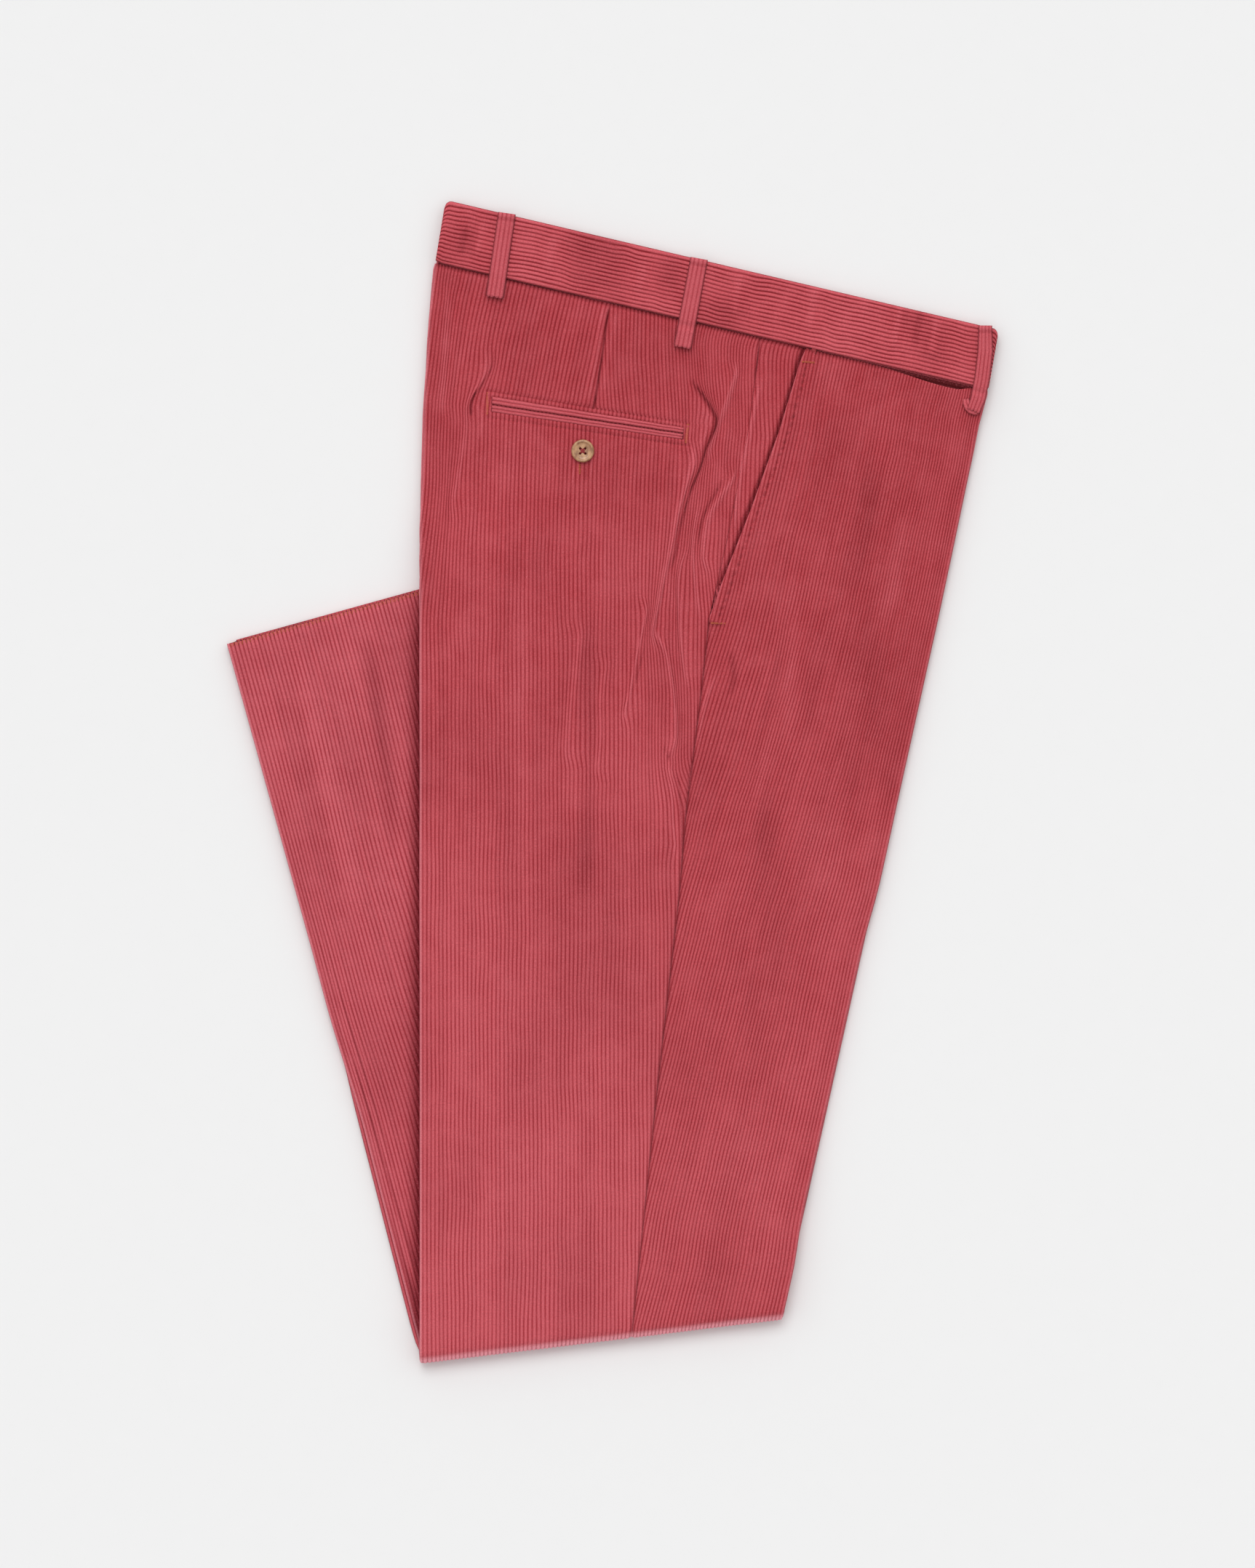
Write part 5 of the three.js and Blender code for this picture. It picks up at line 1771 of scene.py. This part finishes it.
class Recipe:
    """A material's node tree, built from named steps."""

    def __init__(self, name: str) -> None:
        """Starts a material with one shader.

        Args:
            name: the material's name.
        """
        self.material = bpy.data.materials.new(name)
        self.material.use_nodes = True
        self.tree = self.material.node_tree
        self.tree.nodes.clear()
        self.shader = self.node("ShaderNodeBsdfPrincipled")
        output = self.node("ShaderNodeOutputMaterial")
        self.tree.links.new(self.shader.outputs[0], output.inputs["Surface"])

    def node(self, kind: str, settings: dict | None = None, sockets: dict | None = None) -> bpy.types.Node:
        """Adds a node.

        Args:
            kind: its type.
            settings: values set on the node first; "stops" sets a ramp.
            sockets: values or links for its sockets, by name or number.

        Returns:
            The node.
        """
        node = self.tree.nodes.new(kind)
        for key, value in (settings or {}).items():
            if key == "stops":
                self.set_stops(node.color_ramp, value)
            else:
                setattr(node, key, value)
        for key, value in (sockets or {}).items():
            self.feed(node.inputs[key], value)
        return node

    @staticmethod
    def set_stops(ramp: bpy.types.ColorRamp, stops: Sequence[tuple[float, tuple]]) -> None:
        """Sets the stops of a colour ramp.

        Args:
            ramp: the ramp.
            stops: place and colour of each stop.
        """
        while len(ramp.elements) < len(stops):
            ramp.elements.new(0.5)
        for element, (place, colour) in zip(ramp.elements, stops):
            element.position = place
            element.color = (*colour, 1.0)

    def feed(self, socket: bpy.types.NodeSocket, value: Feed) -> None:
        """Gives a socket a link or a value.

        Args:
            socket: the socket.
            value: a number, colour, socket or wrapped number.
        """
        if isinstance(value, Number):
            self.tree.links.new(value.socket, socket)
        elif isinstance(value, bpy.types.NodeSocket):
            self.tree.links.new(value, socket)
        elif isinstance(value, tuple) and socket.type == "RGBA" and len(value) == 3:
            socket.default_value = (*value, 1.0)
        else:
            socket.default_value = value

    def maths(self, operation: str, *values: "Number | float", clamp: bool = False) -> Number:
        """Adds a Math node.

        Args:
            operation: what it does.
            values: what goes in.
            clamp: whether the result stays from 0 to 1.

        Returns:
            The result.
        """
        node = self.node("ShaderNodeMath", {"operation": operation, "use_clamp": clamp},
                         dict(enumerate(values)))
        return Number(self, node.outputs[0])

    def blend(self, factor: Feed, first: Feed, second: Feed, mode: str = "MIX") -> bpy.types.NodeSocket:
        """Mixes two colours.

        Args:
            factor: share of the second.
            first: a colour.
            second: a colour.
            mode: how they mix.

        Returns:
            The mixed colour.
        """
        node = self.node("ShaderNodeMix", {"data_type": "RGBA", "blend_type": mode},
                         {0: factor, 6: first, 7: second})
        return node.outputs[2]

    def noise(self, vector: Feed, scale: float, detail: float = 2.0, roughness: float = 0.5) -> Number:
        """Adds soft noise.

        Args:
            vector: where it is read.
            scale: how many patches to a unit.
            detail: how many finer layers it has.
            roughness: how strong those are.

        Returns:
            The noise, about 0 to 1.
        """
        node = self.node("ShaderNodeTexNoise", {"noise_dimensions": "3D"},
                         {"Vector": vector, "Scale": scale, "Detail": detail, "Roughness": roughness})
        return Number(self, node.outputs["Fac"])

    def ramp(self, factor: Feed, stops: Sequence[tuple[float, tuple]]) -> bpy.types.NodeSocket:
        """Turns a number into a colour.

        Args:
            factor: the number.
            stops: place and colour of each stop.

        Returns:
            The colour.
        """
        return self.node("ShaderNodeValToRGB", {"stops": stops}, {"Fac": factor}).outputs["Color"]

    def span(self, value: Number, low: float, high: float) -> Number:
        """Stretches a range of a number to 0 to 1.

        Args:
            value: the number.
            low: what becomes 0.
            high: what becomes 1.

        Returns:
            The stretched number.
        """
        node = self.node("ShaderNodeMapRange", {"interpolation_type": "SMOOTHSTEP"},
                         {0: value, 1: low, 2: high, 3: 0.0, 4: 1.0})
        return Number(self, node.outputs[0])

    def vector(self, x: Feed, y: Feed, z: Feed) -> bpy.types.NodeSocket:
        """Joins three numbers into a vector."""
        return self.node("ShaderNodeCombineXYZ", None, {0: x, 1: y, 2: z}).outputs[0]

    def finish(self, sockets: dict) -> bpy.types.Material:
        """Sets the shader's sockets.

        Args:
            sockets: values or links by name.

        Returns:
            The finished material.
        """
        for key, value in sockets.items():
            self.feed(self.shader.inputs[key], value)
        return self.material


@dataclass(frozen=True)
class Corduroy:
    """Wide-wale corduroy: cut pile on the cords, deep red grooves, random nap patches, a painted light gradient along
    the leg, painted highlights on ridges and pile tips, painted shade in creases, painted sheen on rolled edges.
    """

    name: str
    crest: tuple[float, float, float] = (0.49, 0.064, 0.080)
    groove: tuple[float, float, float] = (0.62, 0.30, 0.34)
    # pale is a painted highlight on the pile's tips.
    pale: tuple[float, float, float] = (0.82, 0.22, 0.26)
    # crease is multiplied in as painted shade in troughs and creases.
    crease: tuple[float, float, float] = (0.40, 0.20, 0.24)
    # The next two colours are the ends of one blend: random nap patches together with the painted light gradient and
    # the painted highlight on fold ridges.
    nap_and_shade_dark: tuple[float, float, float] = (0.35, 0.026, 0.034)
    nap_and_light_pale: tuple[float, float, float] = (0.59, 0.125, 0.148)
    # edge is painted sheen on rolled edges and the knee fold.
    edge: tuple[float, float, float] = (1.0, 0.41, 0.47)
    # top, bottom and rise set a painted light gradient along the leg.
    top: float = -330.0
    bottom: float = 390.0
    rise: tuple[float, float] = (0.39, 0.93)
    patches: float = 0.31
    pitch: float = 2.8

    def build(self) -> bpy.types.Material:
        """Builds the material.

        Returns:
            The finished material.
        """
        r = Recipe(self.name)
        mark = r.node("ShaderNodeAttribute", {"attribute_name": "wale"})
        roll, crown = (Number(r, r.node("ShaderNodeAttribute", {"attribute_name": title}).outputs["Fac"])
                       for title in ("roll", "crown"))
        parts = r.node("ShaderNodeSeparateXYZ", None, {0: mark.outputs["Vector"]})
        across, along, pile = (Number(r, parts.outputs[i]) for i in range(3))
        # The painted light gradient runs along the leg from top to bottom.
        low = r.span(along, self.top, self.bottom)
        painted_light_gradient = self.rise[0] + (self.rise[1] - self.rise[0]) * low
        cloud = r.noise(r.vector(across * 0.050, along * 0.050, 0.0), 1.0, 5.0, 0.66)
        broad = r.noise(r.vector(across * 0.017, along * 0.014, 3.0), 1.0, 2.0, 0.5)
        streak = r.noise(r.vector(across * 0.21, along * 0.030, 6.0), 1.0, 2.0, 0.55)
        nap = r.span(cloud * 0.5 + broad * 0.2 + streak * 0.3, 0.36, 0.64)
        # Fold ridges get a painted highlight, and troughs get painted shade.
        ridge = r.maths("MAXIMUM", crown, 0.0)
        uneven = (nap - 0.5) * (self.patches * (1.0 - 0.72 * low))
        lean = r.maths("ADD", painted_light_gradient + uneven, ridge * 1.0, clamp=True)
        cord = r.blend(lean, self.nap_and_shade_dark, self.nap_and_light_pale)
        body = r.blend(0.75, self.crest, cord)
        trough = r.maths("MULTIPLY", crown, -1.0, clamp=True)
        creased = r.blend(trough, body, self.crease, "MULTIPLY")
        closing = r.noise(r.vector(across * 0.055, along * 0.055, 12.0), 1.0, 4.0, 0.62)
        gap = (1.0 - pile) * (1.06 - 0.34 * r.span(closing, 0.38, 0.66))
        base = r.blend(r.maths("MINIMUM", gap, 1.0), creased, self.groove, "MULTIPLY")
        # Painted sheen on rolled edges and the knee fold.
        rolled = r.blend(r.maths("MINIMUM", roll * (0.45 + 0.55 * pile), 1.0), base, self.edge)
        wale_number = r.maths("FLOOR", across / self.pitch)
        own = Number(r, r.node("ShaderNodeTexWhiteNoise", {"noise_dimensions": "1D"},
                               {"W": wale_number}).outputs["Value"])
        tufts = r.noise(r.vector(across * 1.5, along * 0.9, 8.0), 1.0, 3.0, 0.65)
        tone = 0.80 + 0.07 * own + 0.38 * r.span(tufts, 0.25, 0.75)
        toned = r.node("ShaderNodeVectorMath", {"operation": "SCALE"}, {0: rolled, "Scale": tone}).outputs[0]
        # Painted highlights on the pile's tips.
        tip_highlights = r.noise(r.vector(across * 2.1, along * 0.7, 15.0), 1.0, 3.0, 0.7)
        colour = r.blend(r.span(tip_highlights, 0.48, 0.78) * pile * 0.42, toned, self.pale)
        rows = r.maths("SINE", along * (math.tau / 0.85) + own * 6.0 + tufts * 3.0)
        fuzz = r.noise(r.vector(across * 4.0, along * 2.4, 2.0), 1.0, 2.0, 0.7)
        bump = r.node("ShaderNodeBump", None, {"Strength": 0.35, "Distance": 0.0004,
                                               "Height": rows * 0.22 + fuzz * 0.8})
        return r.finish({
            "Base Color": colour,
            "Roughness": 0.86 + 0.1 * tufts,
            "Normal": bump.outputs["Normal"],
            "Sheen Weight": 0.12,
            "Sheen Roughness": 0.5,
            "Sheen Tint": (1.0, 0.45, 0.5),
            "Specular IOR Level": 0.12,
        })


@dataclass(frozen=True)
class EdgeCloth:
    """Corduroy on the hidden layers: wales from place alone, along each leg and its edges."""

    name: str = "corduroy_layers"
    crest: tuple[float, float, float] = (0.50, 0.085, 0.105)
    groove: tuple[float, float, float] = (0.13, 0.010, 0.015)
    pitch: float = 2.8

    def build(self) -> bpy.types.Material:
        """Builds the material.

        Returns:
            The finished material.
        """
        r = Recipe(self.name)
        place = r.node("ShaderNodeNewGeometry")
        at = r.node("ShaderNodeSeparateXYZ", None, {0: place.outputs["Position"]})
        facing = r.node("ShaderNodeSeparateXYZ", None, {0: place.outputs["Normal"]})
        x, y, z = (Number(r, at.outputs[i]) for i in range(3))
        flat = r.span(r.maths("ABSOLUTE", Number(r, facing.outputs[2])), 0.55, 0.75)
        flat_wave = r.maths("SINE", (x + y * 0.27) * (math.pi / (self.pitch * MM)))
        side_wave = r.maths("SINE", z * (math.pi / (1.9 * MM)))
        wave = r.maths("ABSOLUTE", flat_wave * flat + side_wave * (1.0 - flat))
        pile = wave ** 0.6
        colour = r.ramp(pile, ((0.0, self.groove), (0.6, self.crest), (1.0, self.crest)))
        patch = r.noise(place.outputs["Position"], 34.0, 3.0, 0.6)
        fuzz = r.noise(place.outputs["Position"], 2600.0, 2.0, 0.6)
        shade = 0.72 + 0.3 * r.span(patch, 0.35, 0.65) + 0.18 * fuzz
        tinted = r.node("ShaderNodeVectorMath", {"operation": "SCALE"}, {0: colour, "Scale": shade}).outputs[0]
        bump = r.node("ShaderNodeBump", None, {"Strength": 0.6, "Distance": 0.0006,
                                               "Height": pile + fuzz * 0.3})
        return r.finish({
            "Base Color": tinted,
            "Roughness": 0.88 + 0.1 * fuzz,
            "Normal": bump.outputs["Normal"],
            "Sheen Weight": 0.2,
            "Sheen Tint": (1.0, 0.55, 0.6),
            "Specular IOR Level": 0.15,
        })


@dataclass(frozen=True)
class Horn:
    """Light brown horn with cloudy streaks and a soft polish."""

    name: str = "horn_button"
    pale: tuple[float, float, float] = (0.50, 0.27, 0.13)
    brown: tuple[float, float, float] = (0.20, 0.075, 0.028)

    def build(self) -> bpy.types.Material:
        """Builds the material.

        Returns:
            The finished material.
        """
        r = Recipe(self.name)
        place = r.node("ShaderNodeNewGeometry").outputs["Position"]
        at = r.node("ShaderNodeSeparateXYZ", None, {0: place})
        x, y = Number(r, at.outputs[0]), Number(r, at.outputs[1])
        streak = r.noise(r.vector(x * 420.0, y * 120.0, 0.0), 1.0, 4.0, 0.6)
        cloud = r.noise(place, 180.0, 3.0, 0.55)
        mix = r.span(streak * 0.6 + cloud * 0.4, 0.38, 0.66)
        colour = r.blend(mix, self.pale, self.brown)
        fine = r.noise(place, 1500.0, 2.0, 0.5)
        bump = r.node("ShaderNodeBump", None, {"Strength": 0.08, "Distance": 0.0002, "Height": fine})
        return r.finish({
            "Base Color": colour,
            "Roughness": 0.28 + 0.14 * fine,
            "Normal": bump.outputs["Normal"],
            "Coat Weight": 0.35 + 0.1 * cloud,
            "Coat Roughness": 0.2,
        })


@dataclass(frozen=True)
class Thread:
    """Spun sewing thread with a twist."""

    name: str
    colour: tuple[float, float, float]

    def build(self) -> bpy.types.Material:
        """Builds the material.

        Returns:
            The finished material.
        """
        r = Recipe(self.name)
        place = r.node("ShaderNodeNewGeometry").outputs["Position"]
        strand = r.noise(place, 5200.0, 2.0, 0.6)
        dark = tuple(c * 0.55 for c in self.colour)
        colour = r.blend(r.span(strand, 0.3, 0.7), dark, self.colour)
        bump = r.node("ShaderNodeBump", None, {"Strength": 0.4, "Distance": 0.0002, "Height": strand})
        return r.finish({
            "Base Color": colour,
            "Roughness": 0.6 + 0.2 * strand,
            "Normal": bump.outputs["Normal"],
            "Specular IOR Level": 0.3,
        })


@dataclass
class Studio:
    """A pale floor, soft light and a camera straight above."""

    px_per_mm: float = 2.0
    image: tuple[int, int] = (1725, 2156)
    centre: Point = (10.0, -0.25)
    lens: float = 200.0
    cloth_level: float = 12.0
    surround: float = 0.40
    lights: tuple[tuple[str, tuple[float, float, float], float, float], ...] = (
        ("key_soft", (-0.16, 1.0, 1.6), 34.0, 1.02),
        ("fill_above", (-0.05, 1.0, 1.5), 130.0, 1.60),
    )

    def floor(self) -> bpy.types.Object:
        """Builds the floor of plain pale paper.

        Returns:
            The floor.
        """
        r = Recipe("studio_floor")
        place = r.node("ShaderNodeNewGeometry").outputs["Position"]
        grain = r.noise(place, 60.0, 3.0, 0.5)
        colour = r.blend(grain, (0.795, 0.795, 0.795), (0.805, 0.805, 0.805))
        material = r.finish({"Base Color": colour, "Roughness": 0.9 + 0.05 * grain, "Specular IOR Level": 0.0})
        size = 3.0
        mesh = bpy.data.meshes.new("studio_floor")
        corners = [(-size, -size, 0), (size, -size, 0), (size, size, 0), (-size, size, 0)]
        mesh.from_pydata(corners, [], [(0, 1, 2, 3)])
        mesh.materials.append(material)
        piece = bpy.data.objects.new("studio_floor", mesh)
        bpy.context.scene.collection.objects.link(piece)
        return piece

    def light(self, name: str, towards: tuple[float, float, float], spread: float, power: float) -> None:
        """Adds a broad even light.

        Args:
            name: its name.
            towards: the direction in which it hangs.
            spread: its apparent size, in degrees.
            power: its strength.
        """
        data = bpy.data.lights.new(name, "SUN")
        data.angle = math.radians(spread)
        data.energy = power
        lamp = bpy.data.objects.new(name, data)
        lamp.location = towards
        lamp.rotation_euler = Vector(towards).to_track_quat("Z", "Y").to_euler()
        bpy.context.scene.collection.objects.link(lamp)

    def sky(self, strength: float) -> None:
        """Sets an even white surround.

        Args:
            strength: its brightness.
        """
        world = bpy.data.worlds.new("studio_surround")
        world.use_nodes = True
        back = world.node_tree.nodes["Background"]
        back.inputs[0].default_value = (1.0, 1.0, 1.0, 1.0)
        back.inputs[1].default_value = strength
        bpy.context.scene.world = world

    def camera(self) -> None:
        """Hangs the camera so that a millimetre is two pixels of the whole image."""
        data = bpy.data.cameras.new("camera_above")
        data.sensor_fit = "VERTICAL"
        data.sensor_height = 36.0
        data.lens = self.lens
        high = self.image[1] / self.px_per_mm * MM
        camera = bpy.data.objects.new("camera_above", data)
        camera.location = (self.centre[0] * MM, self.centre[1] * MM,
                           high * self.lens / data.sensor_height + self.cloth_level * MM)
        data.clip_end = 100.0
        bpy.context.scene.collection.objects.link(camera)
        bpy.context.scene.camera = camera

    def build(self) -> None:
        """Builds the whole studio."""
        self.camera()
        self.floor()
        self.sky(self.surround)
        for name, towards, spread, power in self.lights:
            self.light(name, towards, spread, power)
        view = bpy.context.scene.view_settings
        view.view_transform = "Standard"
        view.look = "None"


class Dresser:
    """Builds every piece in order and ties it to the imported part."""

    def __init__(self) -> None:
        """Makes the finishes."""
        self.back = Corduroy("corduroy_back").build()
        self.front = Corduroy("corduroy_front", pitch=2.25, rise=(0.34, 0.62)).build()
        self.lower = Corduroy("corduroy_lower", pitch=2.7, crest=(0.48, 0.078, 0.105),
                              rise=(0.95, 0.75)).build()
        # The band's grooves are tinted darker than the legs': painted shade deepening its groove lines.
        self.band = Corduroy("corduroy_band", crest=(0.65, 0.076, 0.095), groove=(0.38, 0.13, 0.15),
                             rise=(0.72, 0.72)).build()
        self.trim = Corduroy("corduroy_trim", crest=(0.52, 0.095, 0.115), rise=(0.7, 0.7),
                             groove=(0.70, 0.46, 0.50)).build()
        # Near-black corduroy: painted shadow in the coin pocket's slit.
        self.lining_painted_shadow = Corduroy("corduroy_lining_painted_shadow", crest=(0.08, 0.006, 0.008), nap_and_shade_dark=(0.06, 0.004, 0.006),
                               nap_and_light_pale=(0.10, 0.008, 0.010)).build()
        self.layers = EdgeCloth().build()
        self.horn = Horn().build()
        self.red_thread = Thread("thread_red", (0.36, 0.036, 0.042)).build()
        self.orange_thread = Thread("thread_orange", (0.66, 0.16, 0.07)).build()

    def tie(self, piece: bpy.types.Object, nodes: Sequence[str] = ()) -> None:
        """Rides a piece on the body and hides the CAD nodes that it replaces.

        Args:
            piece: the piece.
            nodes: CAD nodes that it replaces.
        """
        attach(piece, BODY)
        if nodes:
            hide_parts(*nodes)
        LOG.info("built %s: %d points", piece.name, len(piece.data.vertices))

    def layers_finish(self) -> None:
        """Gives the CAD solid of the hidden layers its corduroy."""
        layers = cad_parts["hidden_layers"]
        for slot in layers.material_slots:
            slot.material = self.layers
        LOG.info("finished hidden_layers")

    def panel(self, panel: LegPanel | LowerLeg, finish: bpy.types.Material, flat: tuple[float, float], held: str,
              area: float) -> None:
        """Builds a panel and declares how it was cut.

        Args:
            panel: the panel.
            finish: its finish.
            flat: its flat width and length in metres; not used.
            held: how the cloth is held; not used.
            area: its flat area in square metres; not used.
        """
        piece = panel.build(finish)
        self.tie(piece, nodes=[panel.node])

    def panels(self) -> None:
        """Builds the leg panels, the facing and the lower leg."""
        self.panel(BackPanel(), self.back, (0.255, 0.790), "folded", 0.157)
        self.panel(FrontPanel(), self.front, (0.175, 0.700), "folded", 0.106)
        self.tie(CoinPocket().build(self.lining_painted_shadow))
        self.panel(PocketFacing(), self.back, (0.033, 0.175), "laid", 0.0034)
        lower = LowerLeg()
        self.tie(lower.under_layer(self.lower))
        self.panel(lower, self.lower, (0.158, 0.490), "folded", 0.046)

    def trims(self) -> None:
        """Builds the waistband, belt loops and pocket welts."""
        band = Waistband()
        piece = band.build(self.band)
        self.tie(piece, [band.node])
        for place in LoopPlace:
            loop = BeltLoop(place)
            pieces = loop.build(self.trim)
            self.tie(pieces[0], nodes=[loop.node])
            for extra in pieces[1:]:
                self.tie(extra)
        lines = pocket_lines()
        for side, upper, lower in (("upper", "upper", "middle"), ("lower", "middle", "lower")):
            node = f"back_pocket_{side}_welt"
            piece = PocketWelt(node + "_cloth", node, lines[upper], lines[lower]).build(self.trim)
            self.tie(piece, nodes=[node])

    def sewing(self) -> None:
        """Builds the button and every row of stitches."""
        button = HornButton()
        piece = button.build(self.horn)
        self.tie(piece, ["back_pocket_button"])
        x, y = button.centre
        level = button.seat() + button.thickness * 0.68

        def on_button(px: float, py: float) -> float:
            """Height of the button's face."""
            return level

        runs = [
            *(StitchRun(f"button_thread_{way}", ((x - 0.5, y + step), (x + 0.5, y - step)), 0.42, 4.4, 0.5, height,
                        90, 5, on_button)
              for way, step, height in (("rising", 0.5, 0.25), ("falling", -0.5, 0.45))),
            StitchRun("pocket_stitch_upper", ((-85, 270.2), (51.5, 248.2)), 2.8, 1.7, 0.36, -0.15, 0, 6),
            StitchRun("pocket_stitch_lower", ((-85.5, 252.2), (49.5, 233.0)), 2.8, 1.7, 0.36, -0.05, 0, 7),
            StitchRun("dart_seam", ((-1.8, 329), (-7.5, 296), (-13.6, 260)), 1.5, 1.8, 0.5, -1.2, 0, 9),
            StitchRun("mouth_stitch", self.mouth_line(6.2), 3.2, 2.0, 0.34, -0.5, 4, 8),
        ]
        tacks = [
            StitchRun("pocket_tack_back", ((-86.0, 269.0), (-86.8, 254.0)), 0.62, 1.9, 0.4, 0.45, 86, 11),
            StitchRun("pocket_tack_side", ((51.6, 247.3), (50.2, 234.2)), 0.62, 1.9, 0.4, 0.45, 86, 12),
            StitchRun("mouth_tack_top", ((130.0, 290.2), (138.4, 289.6)), 0.6, 1.5, 0.4, 0.85, 86, 13),
            StitchRun("mouth_tack_end", ((67.4, 110.4), (77.0, 110.2)), 0.6, 1.5, 0.4, 0.7, 86, 14),
            StitchRun("buttonhole", ((-23.0, 219.5), (-23.0, 213.0)), 0.7, 1.9, 0.4, 0.45, 88, 15),
        ]
        for run in runs:
            self.tie(run.build(self.red_thread))
        for run in tacks:
            self.tie(run.build(self.orange_thread))
        self.tie(self.hem_thread().build(self.orange_thread))

    @staticmethod
    def mouth_line(inset: float) -> tuple[Point, ...]:
        """Gives the line of the pocket mouth's topstitching.

        Args:
            inset: distance from the mouth's edge.

        Returns:
            The line's points.
        """
        return tuple((STACK.mouth.x_at(y) + inset * 1.05, y - 1.6) for y in range(288, 118, -10))

    @staticmethod
    def hem_thread() -> StitchRun:
        """Makes the overlock stitches along the raw hem."""
        line = (between(*STACK.hem, 0.012), between(*STACK.hem, 0.71))
        inward = tuple((x + 0.3, y - 1.6) for x, y in line)
        return StitchRun("hem_overlock", inward, 1.7, 3.4, 0.45, 0.45, 74, 21,
                         lambda x, y: STACK.lower_top)


def main() -> None:
    """Builds the trousers in their studio."""
    logging.basicConfig(level=logging.INFO, format="%(message)s")
    Studio().build()
    dresser = Dresser()
    dresser.layers_finish()
    dresser.panels()
    dresser.trims()
    dresser.sewing()


if __name__ == "__main__":
    main()
